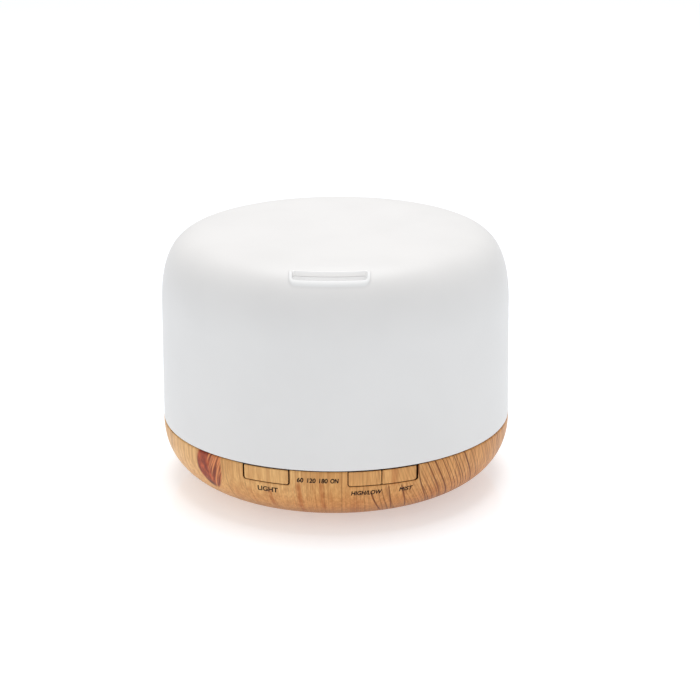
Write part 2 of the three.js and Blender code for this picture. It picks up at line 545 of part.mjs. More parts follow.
// ================================================================ WIRES
add("transducer_lead", wireSolid([[0, 0, 26.3], [0, 0, 25.0], [-6, -1, 21.0], [-16, -3, 17.2], [-22.0, -3, 13.6], [-23.6, -3, 13.2]], 0.9, 14), M.wire);
add("fan_lead", wireSolid([[3.3, 14, 9.0], [1.5, 14, 9.0], [-8, 12, 10.4], [-18, 9, 12.6], [-22, 8, 13.2], [-23.6, 8, 13.2]], 0.9, 12), M.wireDark);
add("socket_lead", wireSolid([[0, 61.5, 13.0], [0, 59.5, 13.0], [-10, 52, 12.4], [-34, 42, 12.6], [-46, 33.5, 13.2], [-46, 30.6, 13.2]], 1.1, 16), M.wireDark);
add("control_lead", wireSolid([[-20, -63.9, 24.0], [-20, -61.5, 24.0], [-27, -48, 18.5], [-38, -36, 14.0], [-40, -33, 13.2], [-40, -30.6, 13.2]], 1.1, 16), M.wireDark);

export default group;
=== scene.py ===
import json
import math

import bmesh
import bpy
import numpy as np
from mathutils import Matrix, Quaternion, Vector


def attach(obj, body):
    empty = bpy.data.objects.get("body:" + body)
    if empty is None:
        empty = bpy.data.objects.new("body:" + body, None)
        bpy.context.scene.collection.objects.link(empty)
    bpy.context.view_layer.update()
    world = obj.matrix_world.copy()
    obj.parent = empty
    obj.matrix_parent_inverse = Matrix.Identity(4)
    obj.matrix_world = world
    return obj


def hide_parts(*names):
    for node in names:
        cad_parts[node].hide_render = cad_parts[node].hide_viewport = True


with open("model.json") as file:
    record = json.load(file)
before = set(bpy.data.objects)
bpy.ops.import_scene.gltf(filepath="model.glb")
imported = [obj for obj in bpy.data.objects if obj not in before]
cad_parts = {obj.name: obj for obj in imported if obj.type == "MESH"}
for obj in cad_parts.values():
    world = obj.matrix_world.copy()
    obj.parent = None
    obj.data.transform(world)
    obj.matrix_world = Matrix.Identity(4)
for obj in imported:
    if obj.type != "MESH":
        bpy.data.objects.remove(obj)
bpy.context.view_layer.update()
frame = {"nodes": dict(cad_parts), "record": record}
NODES = frame["nodes"]
MM = 0.001

# ------------------------------------------------------------------ shape of the CAD, in millimetres
BASE_R, BASE_FOOT_R, BASE_Z, SEAM_Z, BASE_BOWL, BASE_WALL = 84.0, 47.8, 0.7, 31.0, 2.3, 2.4
COVER_Z, COVER_R, COVER_TOP, CAP_Z, CAP_R, CAP_CROWN, CAP_Q, CAP_P, COVER_WALL = 31.4, 83.9, 124.0, 86.4, 83.1, 2.5, 11.8, 2.2, 2.2
SLOT_HALF, SLOT_F, SLOT_B = 16.5, -74.4, -69.6
PLATE_R, PLATE_Z0, PLATE_Z1 = 46.0, 0.7, 3.1
LEDGE_R, LEDGE_Z0, LEDGE_Z1 = 41.0, 3.4, 5.2
CASE_SCREWS = [(-20, -31), (20, -31), (20, 31), (-20, 31)]
FEET = [(-34, -20), (34, -20), (34, 20), (-34, 20)]
FAN_X = 24.0
JACK_Z = 16.0


def bowl_point(t):
    k = 2 / BASE_BOWL
    s, c = math.sin(t), max(0.0, math.cos(t))
    return BASE_FOOT_R + (BASE_R - BASE_FOOT_R) * s**k, BASE_Z + (SEAM_Z - BASE_Z) * (1 - c**k)


def bowl_r(z):
    h = min(1.0, max(0.0, (z - BASE_Z) / (SEAM_Z - BASE_Z)))
    c = (1 - h) ** (BASE_BOWL / 2)
    s = math.sqrt(max(0.0, 1 - c * c))
    return BASE_FOOT_R + (BASE_R - BASE_FOOT_R) * s ** (2 / BASE_BOWL)


def dome_z(r):
    f = min(1.0, max(0.0, r / CAP_R))
    return CAP_Z + (COVER_TOP - CAP_Z - CAP_CROWN) * (1 - f**CAP_Q) ** (1 / CAP_P) + CAP_CROWN * (1 - f * f)


def offset_curve(points, d):
    p = np.array(points, float)
    t = np.gradient(p, axis=0)
    t /= np.linalg.norm(t, axis=1)[:, None]
    return np.stack([p[:, 0] - t[:, 1] * d, p[:, 1] + t[:, 0] * d], 1)


# inner face of the bowl as a table of radius against height
_b = [bowl_point(t) for t in np.linspace(0.02, math.pi / 2, 400)]
_bi = offset_curve(_b, BASE_WALL)
_order = np.argsort(_bi[:, 1])
_BI_Z, _BI_R = _bi[_order, 1], _bi[_order, 0]


def bowl_in_r(z):
    return float(np.interp(z, _BI_Z, _BI_R))


# dome outline as points from the axis outward, then down the wall to the rim
_DOME = [(r, dome_z(r)) for r in np.linspace(0, 78.0, 400)]
_t0 = math.acos((78.0 / CAP_R) ** (CAP_Q / 2))
for t in np.linspace(_t0, 0, 400)[1:]:
    r = CAP_R * math.cos(t) ** (2 / CAP_Q)
    _DOME.append((r, dome_z(r)))
_DOME = np.array(_DOME)
_wall = [(CAP_R + (COVER_R - CAP_R) * f, CAP_Z + (COVER_Z - CAP_Z) * f) for f in np.linspace(0.02, 1, 60)]
_OUT = np.vstack([_DOME, _wall])


def dome_offset(d):
    q = offset_curve(_OUT, -d)
    q = np.array([(max(0.0, a), b) for a, b in q])
    q[0] = (0.0, COVER_TOP - d)
    return q


_IN = dome_offset(COVER_WALL)
_G = dome_offset(COVER_WALL + 0.35)


def _z_of(curve, r):
    return float(np.interp(r, curve[:, 0], curve[:, 1]))


# ------------------------------------------------------------------ mesh building
class Geo:
    def __init__(self):
        self.v, self.f = [], []

    def add(self, p):
        self.v.append((p[0] * MM, p[1] * MM, p[2] * MM))
        return len(self.v) - 1

    def loop(self, pts):
        return [self.add(p) for p in pts]

    def bridge(self, a, b, closed=True):
        n = len(a)
        for i in range(n if closed else n - 1):
            j = (i + 1) % n
            q = [a[i], a[j], b[j], b[i]]
            if len(set(q)) == 4:
                self.f.append(q)
            elif len(set(q)) == 3:
                self.f.append(list(dict.fromkeys(q)))

    def fan(self, a, c):
        for i in range(len(a)):
            self.f.append([a[i], a[(i + 1) % len(a)], c])

    def join(self, other):
        k = len(self.v)
        self.v += other.v
        self.f += [[i + k for i in q] for q in other.f]
        return self

    def mesh(self, name, sharp=38):
        me = bpy.data.meshes.new(name)
        me.from_pydata(self.v, [], self.f)
        bm = bmesh.new()
        bm.from_mesh(me)
        bmesh.ops.remove_doubles(bm, verts=bm.verts, dist=1e-7)
        bmesh.ops.recalc_face_normals(bm, faces=bm.faces)
        bm.to_mesh(me)
        bm.free()
        me.shade_smooth()
        if sharp:
            me.set_sharp_from_angle(angle=math.radians(sharp))
        return me

    def obj(self, name, sharp=38):
        o = bpy.data.objects.new(name, self.mesh(name, sharp))
        bpy.context.scene.collection.objects.link(o)
        return o


def rounded(points, r=0.4, n=4, closed=True):
    """A polyline with its corners rounded; each point may carry its own radius as a third number."""
    out = []
    m = len(points)
    for i, p in enumerate(points):
        rad = p[2] if len(p) > 2 else r
        if not closed and i in (0, m - 1) or rad <= 0:
            out.append((p[0], p[1]))
            continue
        a, b, c = (np.array(points[(i - 1) % m][:2], float), np.array(p[:2], float), np.array(points[(i + 1) % m][:2], float))
        u, w = a - b, c - b
        lu, lw = np.linalg.norm(u), np.linalg.norm(w)
        u, w = u / lu, w / lw
        ang = math.acos(max(-1, min(1, float(u @ w))))
        if ang > math.radians(172):
            out.append((p[0], p[1]))
            continue
        cut = min(rad / math.tan(ang / 2), 0.45 * lu, 0.45 * lw)
        rr = cut * math.tan(ang / 2)
        centre = b + (u + w) / np.linalg.norm(u + w) * rr / math.sin(ang / 2)
        s, e = b + u * cut - centre, b + w * cut - centre
        a0, a1 = math.atan2(s[1], s[0]), math.atan2(e[1], e[0])
        da = (a1 - a0 + math.pi) % (2 * math.pi) - math.pi
        for k in range(n + 1):
            q = a0 + da * k / n
            out.append((centre[0] + rr * math.cos(q), centre[1] + rr * math.sin(q)))
    return out


def lathe(points, segments=128, x=0.0, y=0.0, geo=None):
    """A closed outline of (radius, height), or one whose two ends are on the axis, turned about Z."""
    g = geo or Geo()
    on_axis = points[0][0] < 1e-6 and points[-1][0] < 1e-6
    rings = []
    for r, z in points:
        if r < 1e-6:
            rings.append([g.add((x, y, z))])
        else:
            rings.append(g.loop([(x + r * math.cos(2 * math.pi * i / segments), y + r * math.sin(2 * math.pi * i / segments), z) for i in range(segments)]))
    pairs = list(zip(rings, rings[1:]))
    if not on_axis:
        pairs.append((rings[-1], rings[0]))
    for a, b in pairs:
        if len(a) == 1 and len(b) > 1:
            g.fan(b, a[0])
        elif len(b) == 1 and len(a) > 1:
            g.fan(a, b[0])
        elif len(a) > 1:
            g.bridge(a, b)
    return g


def rrect(x0, x1, y0, y1, radii, n=6, step=1.2):
    """Points and outward normals round a rectangle; radii are lower left, lower right, upper right, upper left."""
    corners = [(x0, y0, radii[0], math.pi), (x1, y0, radii[1], 1.5 * math.pi), (x1, y1, radii[2], 0), (x0, y1, radii[3], 0.5 * math.pi)]
    pts = []
    for i, (cx, cy, r, a0) in enumerate(corners):
        sx, sy = (1 if cx == x0 else -1), (1 if cy == y0 else -1)
        ox, oy = cx + sx * r, cy + sy * r
        for k in range(n + 1):
            a = a0 + (math.pi / 2) * k / n
            pts.append(((ox + r * math.cos(a), oy + r * math.sin(a)), (math.cos(a), math.sin(a))))
        nx, ny, nr, _ = corners[(i + 1) % 4]
        end = pts[-1]
        nsx, nsy = (1 if nx == x0 else -1), (1 if ny == y0 else -1)
        start = (nx + nsx * nr + nr * math.cos(a0 + math.pi / 2), ny + nsy * nr + nr * math.sin(a0 + math.pi / 2))
        length = math.hypot(start[0] - end[0][0], start[1] - end[0][1])
        m = max(1, int(round(length / step)))
        for k in range(1, m):
            f = k / m
            pts.append(((end[0][0] + (start[0] - end[0][0]) * f, end[0][1] + (start[1] - end[0][1]) * f), end[1]))
    return pts


def tube_z(outline_out, outline_in, z0, z1, r=0.4):
    """A tube along Z between two outlines of the same count, with its four rims rounded."""
    g = Geo()
    rings = []
    steps = [(0, 1), (0.3, 0.3), (1, 0)]
    for f, h in [(1, 0), (0.3, 0.3), (0, 1)]:
        rings.append(g.loop([(p[0] - n[0] * r * f, p[1] - n[1] * r * f, z0 + r * h) for p, n in outline_out]))
    for f, h in [(0, 1), (0.3, 0.3), (1, 0)]:
        rings.append(g.loop([(p[0] - n[0] * r * f, p[1] - n[1] * r * f, z1 - r * h) for p, n in outline_out]))
    for f, h in [(1, 0), (0.3, 0.3), (0, 1)]:
        rings.append(g.loop([(p[0] + n[0] * r * f, p[1] + n[1] * r * f, z1 - r * h) for p, n in outline_in]))
    for f, h in [(0, 1), (0.3, 0.3), (1, 0)]:
        rings.append(g.loop([(p[0] + n[0] * r * f, p[1] + n[1] * r * f, z0 + r * h) for p, n in outline_in]))
    for a, b in zip(rings, rings[1:] + rings[:1]):
        g.bridge(a, b)
    return g


def bevelled(o, width=0.3, segments=3, angle=35):
    m = o.modifiers.new("bevel", "BEVEL")
    m.width, m.segments, m.limit_method, m.angle_limit = width * MM, segments, "ANGLE", math.radians(angle)
    m.harden_normals = False
    apply_modifiers(o)
    o.data.shade_smooth()
    o.data.set_sharp_from_angle(angle=math.radians(50))
    return o


def apply_modifiers(o):
    dg = bpy.context.evaluated_depsgraph_get()
    me = bpy.data.meshes.new_from_object(o.evaluated_get(dg))
    o.modifiers.clear()
    old = o.data
    o.data = me
    me.name = o.name
    bpy.data.meshes.remove(old)


def cut(o, cutter, operation="DIFFERENCE"):
    m = o.modifiers.new("cut", "BOOLEAN")
    m.operation, m.solver, m.object = operation, "EXACT", cutter
    apply_modifiers(o)
    bpy.data.objects.remove(cutter)
    return o


def box_geo(x0, x1, y0, y1, z0, z1):
    g = Geo()
    v = [g.add((x, y, z)) for z in (z0, z1) for y in (y0, y1) for x in (x0, x1)]
    g.f = [[v[0], v[2], v[3], v[1]], [v[4], v[5], v[7], v[6]], [v[0], v[1], v[5], v[4]], [v[2], v[6], v[7], v[3]], [v[0], v[4], v[6], v[2]], [v[1], v[3], v[7], v[5]]]
    return g


def prism_x(outline, x0, x1):
    """A flat outline in Y and Z, pulled along X."""
    g = Geo()
    a = g.loop([(x0, y, z) for y, z in outline])
    b = g.loop([(x1, y, z) for y, z in outline])
    g.bridge(a, b)
    g.f += [a[::-1], b]
    return g


# ------------------------------------------------------------------ cover
SIDE_LIP, FRONT_LIP = 1.5, 2.2


def polar(r, deg):
    a = math.radians(deg)
    return r * math.sin(a), -r * math.cos(a)


def build_cover():
    g = Geo()
    # columns: even, with the block round the slot on whole columns
    cols = [-180 + 1.5 * i for i in range(240)]
    # rows from the apex outward and down, by arc length along the outline
    seg = np.r_[0, np.cumsum(np.linalg.norm(np.diff(_OUT, axis=0), axis=1))]

    def at(curve, s):
        return float(np.interp(s, seg, curve[:, 0])), float(np.interp(s, seg, curve[:, 1]))

    s_of_r = lambda r: float(np.interp(r, _DOME[:, 0], seg[: len(_DOME)]))
    s_a, s_b = s_of_r(62.0), s_of_r(80.3)
    s_end = float(seg[-1])
    s_wall = float(seg[len(_DOME)])
    stops = list(np.linspace(0, s_a, 16)) + list(np.linspace(s_a, s_b, 17))[1:] + list(np.linspace(s_b, s_wall, 22))[1:] + list(np.linspace(s_wall, s_end - 0.5, 14))[1:]
    ja, jb = 15, 31
    outer = [at(_OUT, s) for s in stops]
    inner = [at(_IN, s) for s in stops]
    rim_o = [(COVER_R - 0.02, COVER_Z + 0.3), (COVER_R - 0.15, COVER_Z + 0.08), (COVER_R - 0.4, COVER_Z)]
    ri = COVER_R - COVER_WALL
    rim_i = [(ri + 0.4, COVER_Z), (ri + 0.12, COVER_Z + 0.1), (ri, COVER_Z + 0.4), (ri, 33.0), (ri - 0.05, 33.25), (ri - 0.3, 33.35), (79.5, 33.35), (79.25, 33.45), (79.2, 33.7), (79.2, 35.7), (79.35, 36.1), (ri - 0.4, 37.0), (ri - 0.1, 37.4)]
    inner_up = [q for q in inner[1:] if q[1] > 38.0]
    prof = outer[1:] + rim_o + rim_i + inner_up[::-1]
    rings = [g.loop([polar(r, c) + (z,) for c in cols]) for r, z in prof]
    n = len(prof)
    o_a, o_b = ja - 1, jb - 1  # outer[1:] drops the apex
    i_a = n - ja  # inner rows run the other way: prof[n - j] is inner[j]
    i_b = n - jb
    assert abs(prof[i_a][0] - inner[ja][0]) < 1e-6
    ca = cols.index(-18.0)
    cb = cols.index(18.0)

    def hole(j, i):
        return ca <= i < cb and (o_a <= j < o_b or i_b <= j < i_a)

    for j in range(n - 1):
        for i in range(len(cols)):
            if hole(j, i):
                continue
            k = (i + 1) % len(cols)
            g.f.append([rings[j][i], rings[j][k], rings[j + 1][k], rings[j + 1][i]])
    g.fan(rings[0], g.add((0, 0, COVER_TOP)))
    g.fan(rings[-1], g.add((0, 0, COVER_TOP - COVER_WALL)))

    def border(ra, rb):
        ids = [rings[rb][i] for i in range(ca, cb)]
        step = 1 if ra > rb else -1
        ids += [rings[j][cb] for j in range(rb, ra, step)]
        ids += [rings[ra][i] for i in range(cb, ca, -1)]
        ids += [rings[j][ca] for j in range(ra, rb, -step)]
        return ids

    bo, bi = border(o_a, o_b), border(i_a, i_b)
    assert len(bo) == len(bi)
    rho = 1.1
    core = (-SLOT_HALF + rho, SLOT_HALF - rho, SLOT_F + rho, SLOT_B - rho)

    # worked in a straightened plane: x across, and minus the radius instead of y
    def arc(x, q):
        return x, -math.sqrt(q * q - x * x)

    def aim(idx):
        x, y = g.v[idx][0] / MM, -math.hypot(g.v[idx][0], g.v[idx][1]) / MM
        cx, cy = min(max(x, core[0]), core[1]), min(max(y, core[2]), core[3])
        l = math.hypot(x - cx, y - cy)
        return (x, y), (cx, cy), ((x - cx) / l, (y - cy) / l)

    def lip_width(d):
        return SIDE_LIP + (FRONT_LIP - SIDE_LIP) * max(0.0, -d[1])

    def fade(y):
        t = min(1.0, max(0.0, (SLOT_B + 0.1 - y) / 2.2))
        return t * t * (3 - 2 * t)

    def ring(base, z_at, offs, lift):
        pts = []
        for idx in base:
            b, c, d = aim(idx)
            o = offs(d)
            x, y = c[0] + d[0] * (rho + o), c[1] + d[1] * (rho + o)
            pts.append(arc(x, y) + (z_at(-y) + lift * fade(y),))
        return g.loop(pts)

    def between(base, z_at, offs, t):
        pts = []
        for idx in base:
            b, c, d = aim(idx)
            o = offs(d)
            x, y = c[0] + d[0] * (rho + o), c[1] + d[1] * (rho + o)
            x, y = b[0] + (x - b[0]) * t, b[1] + (y - b[1]) * t
            pts.append(arc(x, y) + (z_at(-y),))
        return g.loop(pts)

    z_out = dome_z
    z_in = lambda r: _z_of(_IN, r)
    wide = lambda d: lip_width(d) + 0.5
    chain = [bo]
    for t in (0.15, 0.3, 0.45, 0.6, 0.75, 0.88):
        chain.append(between(bo, z_out, wide, t))
    # the raised lip: a rounded band, then over its edge and down
    for f, h in [(1.3, 0.0), (1.18, 0.04), (1.09, 0.16), (1.0, 0.36), (0.9, 0.58), (0.8, 0.68), (0.68, 0.69), (0.5, 0.62), (0.34, 0.54), (0.2, 0.45), (0.11, 0.34), (0.05, 0.22), (0.015, 0.06)]:
        chain.append(ring(bo, z_out, lambda d, f=f: lip_width(d) * f, h))
    chain.append(ring(bo, lambda r: z_out(r) - 0.12, lambda d: 0.0, 0.0))
    chain.append(ring(bo, lambda r: z_out(r) - 0.8, lambda d: 0.0, 0.0))
    chain.append(ring(bi, lambda r: z_in(r) + 0.5, lambda d: 0.0, 0.0))
    chain.append(ring(bi, lambda r: z_in(r) + 0.2, lambda d: 0.02, 0.0))
    chain.append(ring(bi, z_in, lambda d: 0.25, 0.0))
    for t in (0.75, 0.5, 0.25):
        chain.append(between(bi, z_in, lambda d: 0.25, t))
    chain.append(bi)
    for a, b in zip(chain, chain[1:]):
        g.bridge(a, b)
    return g.obj("cover_shell", sharp=50)


def build_chute():
    rho = 1.3
    h, yf, yb, w = SLOT_HALF + 0.4, SLOT_F - 0.3, SLOT_B + 0.3, 1.2
    z_in = lambda r: _z_of(_G, r)

    def lay(p, z):  # from the straightened plane to the real one
        return (p[0], -math.sqrt(p[1] ** 2 - p[0] ** 2), z(-p[1]) if callable(z) else z)

    ins = rrect(-h, h, yf, yb, [rho] * 4, n=5)
    g = Geo()
    # same number of points on both outlines, by matching each inner point along its normal
    out = [((p[0] + n[0] * w, p[1] + n[1] * w), n) for p, n in ins]
    zlow = 101.0
    rings = []
    for f, hh in [(1, 0), (0.3, 0.3), (0, 1)]:
        rings.append(g.loop([lay((p[0] - n[0] * 0.4 * f, p[1] - n[1] * 0.4 * f), zlow + 0.4 * hh) for p, n in out]))
    for t in (0.25, 0.5, 0.75, 1.0):
        rings.append(g.loop([lay(p, zlow + 0.4 + (z_in(-p[1]) - 0.05 - zlow - 0.4) * t) for p, n in out]))
    rings.append(g.loop([lay(p, z_in) for p, n in ins]))
    for t in (0.75, 0.5, 0.25, 0.0):
        rings.append(g.loop([lay(p, zlow + 0.3 + (z_in(-p[1]) - zlow - 0.3) * t) for p, n in ins]))
    rings.append(g.loop([lay((p[0] + n[0] * 0.2, p[1] + n[1] * 0.2), zlow) for p, n in ins]))
    for a, b in zip(rings, rings[1:] + rings[:1]):
        g.bridge(a, b)
    # glued flange against the underside of the cover, behind the tube
    x1 = h + w + 3.0
    y0, y1 = yb + w - 0.3, yb + w + 5.0  # minus the radius, as above
    nx, ny = 20, 6
    top, bot = [], []
    for j in range(ny + 1):
        y = y0 + (y1 - y0) * j / ny
        top.append(g.loop([lay((x, y), z_in) for x in np.linspace(-x1, x1, nx + 1)]))
        bot.append(g.loop([lay((x, y), z_in(-y) - 1.3) for x in np.linspace(-x1, x1, nx + 1)]))
    for s in (top, bot):
        for a, b in zip(s, s[1:]):
            g.bridge(a, b, closed=False)
    g.bridge(top[0], bot[0], closed=False)
    g.bridge(top[-1], bot[-1], closed=False)
    g.bridge([r[0] for r in top], [r[0] for r in bot], closed=False)
    g.bridge([r[-1] for r in top], [r[-1] for r in bot], closed=False)
    return g.obj("mist_chute_tube", sharp=40)


# ------------------------------------------------------------------ base
NOTCH_Z = 23.5
NOTCHES = [(-40.0, -18.3), (7.8, 39.5)]


def r_out(z):
    r = bowl_r(z)
    return r - max(0.0, z - (SEAM_Z - 0.35)) * 0.8


def r_in(z):
    return bowl_in_r(min(z, SEAM_Z - 0.2)) + max(0.0, z - (SEAM_Z - 0.3)) * 0.6


def build_base():
    g = Geo()
    cols = [-180 + 1.5 * i for i in range(240)]
    levels = [8.0, 9.4, 10.8, 12.2, 13.6, 15.0, 16.4, 17.8, 19.2, 20.6, 22.0, 23.4, 24.8, 26.2, 27.6, 29.0, 30.0, 30.65, 30.9, 31.0]
    t8 = next(t for t in np.linspace(0, math.pi / 2, 4000) if bowl_point(t)[1] > 7.2)
    low = [bowl_point(t) for t in np.linspace(0.0, t8, 16)]
    low = [(46.3, 1.0), (46.4, 0.8), (46.6, 0.7), (47.4, 0.7)] + [q for q in low if q[0] > 47.9]
    outer = low + [(r_out(z), z) for z in levels]
    inner = [(r_in(z), z) for z in levels][::-1]
    floor_r = bowl_in_r(6.2)
    tail = [(bowl_in_r(7.0), 7.0), (floor_r, 6.2), (floor_r - 3.0, 5.4), (floor_r - 6.0, 5.2), (41.4, 5.2), (41.1, 5.1), (41.0, 4.9), (41.0, 3.6), (41.2, 3.4), (46.1, 3.4), (46.3, 3.2)]
    prof = outer + inner + tail
    rings = [g.loop([polar(r, c) + (z,) for c in cols]) for r, z in prof]
    n, n_low, n_lev = len(prof), len(low), len(levels)
    top = n_low + n_lev - 1  # outer row at the rim; top + 1 is the inner row there

    def block(deg0, deg1, z0, z1=None):
        a, b = cols.index(deg0), cols.index(deg1)
        k0 = levels.index(z0)
        k1 = n_lev - 1 if z1 is None else levels.index(z1)
        return {"a": a, "b": b, "k0": k0, "k1": k1}

    def outer_row(k):
        return n_low + k

    def inner_row(k):
        return n_low + 2 * n_lev - 1 - k

    light = block(-33.0, -9.0, 17.8)
    pair = block(3.0, 33.0, 17.8)
    socket = block(171.0, -171.0, 8.0, 24.8)
    holes = set()
    total = len(cols)
    for blk, through_top in ((light, True), (pair, True), (socket, False)):
        i = blk["a"]
        while i != blk["b"]:
            for k in range(blk["k0"], blk["k1"]):
                holes.add((outer_row(k), i))
                holes.add((inner_row(k + 1), i))
            if through_top:
                holes.add((top, i))
            i = (i + 1) % total
    for j in range(n):
        jj = (j + 1) % n
        for i in range(total):
            if (j, i) in holes:
                continue
            k = (i + 1) % total
            g.f.append([rings[j][i], rings[j][k], rings[jj][k], rings[jj][i]])

    def columns(blk):
        i, out = blk["a"], [blk["a"]]
        while i != blk["b"]:
            i = (i + 1) % total
            out.append(i)
        return out

    def at(x, z, f, sign):
        ro, ri = r_out(z), r_in(z)
        yo, yi = math.sqrt(max(0, ro * ro - x * x)), math.sqrt(max(0, ri * ri - x * x))
        return (x, sign * (yo + (yi - yo) * f), z)

    # fillet round the edge of a hole: (offset from the edge, share of the wall's depth)
    edge = [(0.4, 0.0), (0.22, 0.012), (0.1, 0.045), (0.02, 0.1), (0.0, 0.17)]
    deep = [(0.0, 0.5)]

    def chain_for(ids_out, ids_in, target, sign, closed):
        def place(ids, off, f, t=1.0):
            pts = []
            for idx in ids:
                bx, bz = g.v[idx][0] / MM, g.v[idx][2] / MM
                (cx, cz), (dx, dz), r0 = target(bx, bz)
                px, pz = cx + dx * (r0 + off), cz + dz * (r0 + off)
                px, pz = bx + (px - bx) * t, bz + (pz - bz) * t
                pts.append(at(px, pz, f, sign))
            return g.loop(pts)

        seq = [ids_out]
        for t in (0.25, 0.5, 0.75):
            seq.append(place(ids_out, 0.4, 0.0, t))
        for o, f in edge:
            seq.append(place(ids_out, o, f))
        for o, f in deep:
            seq.append(place(ids_out, o, f))
        for o, f in edge[::-1]:
            seq.append(place(ids_in, o, 1 - f))
        for t in (0.75, 0.5, 0.25):
            seq.append(place(ids_in, 0.4, 1.0, t))
        seq.append(ids_in)
        for a, b in zip(seq, seq[1:]):
            g.bridge(a, b, closed=closed)
        return seq

    for blk, (x0, x1) in ((light, NOTCHES[0]), (pair, NOTCHES[1])):
        cs = columns(blk)
        ks = list(range(blk["k1"], blk["k0"], -1))
        ids_o = [rings[outer_row(k)][cs[0]] for k in ks] + [rings[outer_row(blk["k0"])][c] for c in cs] + [rings[outer_row(k)][cs[-1]] for k in ks[::-1]]
        ids_i = [rings[inner_row(k)][cs[0]] for k in ks] + [rings[inner_row(blk["k0"])][c] for c in cs] + [rings[inner_row(k)][cs[-1]] for k in ks[::-1]]
        rho = 1.3

        def target(bx, bz, x0=x0, x1=x1):
            cx = min(max(bx, x0 + rho), x1 - rho)
            cz = max(bz, NOTCH_Z + rho)
            l = math.hypot(bx - cx, bz - cz)
            return (cx, cz), ((bx - cx) / l, (bz - cz) / l), rho

        seq = chain_for(ids_o, ids_i, target, -1, False)
        for end in (0, -1):
            ends = [r[end] for r in seq]
            m = len(ends)
            for k in range(m // 2):
                q = [ends[k], ends[k + 1], ends[m - 2 - k], ends[m - 1 - k]]
                q = list(dict.fromkeys(q))
                if len(q) > 2:
                    g.f.append(q)
    # the power socket's round hole, at the back
    cs = columns(socket)
    ks = list(range(socket["k0"], socket["k1"] + 1))

    def border(row):
        ids = [rings[row(socket["k0"])][c] for c in cs[:-1]]
        ids += [rings[row(k)][cs[-1]] for k in ks[:-1]]
        ids += [rings[row(socket["k1"])][c] for c in cs[:0:-1]]
        ids += [rings[row(k)][cs[0]] for k in ks[:0:-1]]
        return ids

    def target(bx, bz):
        l = math.hypot(bx, bz - JACK_Z)
        return (0.0, JACK_Z), (bx / l, (bz - JACK_Z) / l), 5.0

    chain_for(border(outer_row), border(inner_row), target, 1, True)
    return g.obj("base_bowl", sharp=50)


# ------------------------------------------------------------------ buttons
BUTTON_Z0, BUTTON_Z1 = 23.9, 30.8
KEYS = {
    "light_button": dict(x=(-39.35, -18.95), flange=(-1.0, 1.4), stem=-29.2, radii=(0.9, 1.1, 0.45, 0.45)),
    "high_low_button": dict(x=(8.2, 22.95), flange=(-1.4, 0.0), stem=16.1, radii=(0.9, 0.45, 0.45, 0.45)),
    "mist_button": dict(x=(23.35, 38.7), flange=(0.0, 1.4), stem=31.2, radii=(0.45, 1.2, 0.45, 0.45)),
}


def build_button(name, key):
    g = Geo()
    x0, x1 = key["x"]
    outline = rrect(x0, x1, BUTTON_Z0, BUTTON_Z1, key["radii"], n=7, step=0.8)
    cx, cz = (x0 + x1) / 2, (BUTTON_Z0 + BUTTON_Z1) / 2

    def at(x, z, depth):
        r = bowl_r(z)
        return (x, -math.sqrt(r * r - x * x) + depth, z)

    rings = []
    f = 0.38
    centre = g.add(at(cx, cz, 0.0))
    for s in (0.12, 0.28, 0.44, 0.6, 0.76, 0.9, 1.0):
        rings.append(g.loop([at(cx + (p[0] - n[0] * f - cx) * s, cz + (p[1] - n[1] * f - cz) * s, 0.0) for p, n in outline]))
    for a in (15, 30, 45, 60, 75, 90):
        q = math.radians(a)
        rings.append(g.loop([at(p[0] - n[0] * f * (1 - math.sin(q)), p[1] - n[1] * f * (1 - math.sin(q)), f * (1 - math.cos(q))) for p, n in outline]))
    rings.append(g.loop([at(p[0], p[1], 3.1) for p, n in outline]))
    for s in (0.7, 0.35):
        rings.append(g.loop([at(cx + (p[0] - cx) * s, cz + (p[1] - cz) * s, 3.1) for p, n in outline]))
    back = g.add(at(cx, cz, 3.1))
    g.fan(rings[0], centre)
    for a, b in zip(rings, rings[1:]):
        g.bridge(a, b)
    g.fan(rings[-1], back)
    # retaining flange behind the wall
    fx0, fx1 = x0 + key["flange"][0], x1 + key["flange"][1]
    nx, nz = 24, 8
    grid = {}
    for side, d in ((0, BASE_WALL + 0.7), (1, BASE_WALL + 2.0)):
        for j in range(nz + 1):
            z = 22.3 + (30.4 - 22.3) * j / nz
            for i in range(nx + 1):
                x = fx0 + (fx1 - fx0) * i / nx
                r = bowl_in_r(z) - (d - BASE_WALL)
                grid[side, i, j] = g.add((x, -math.sqrt(r * r - x * x), z))
    for side in (0, 1):
        for j in range(nz):
            for i in range(nx):
                g.f.append([grid[side, i, j], grid[side, i + 1, j], grid[side, i + 1, j + 1], grid[side, i, j + 1]])
    for j in range(nz):
        for i in (0, nx):
            g.f.append([grid[0, i, j], grid[1, i, j], grid[1, i, j + 1], grid[0, i, j + 1]])
    for i in range(nx):
        for j in (0, nz):
            g.f.append([grid[0, i, j], grid[1, i, j], grid[1, i + 1, j], grid[0, i + 1, j]])
    # plus-shaped stem
    s = key["stem"]
    y0 = -math.sqrt(81.2**2 - s * s) + 0.4
    g.join(box_geo(s - 2.2, s + 2.2, y0, -71.9, 26.5, 27.9))
    g.join(box_geo(s - 0.7, s + 0.7, y0, -71.9, 25.0, 29.4))
    return g.obj(name + "_cap", sharp=40)


# ------------------------------------------------------------------ printed legends
STROKE = 0.1


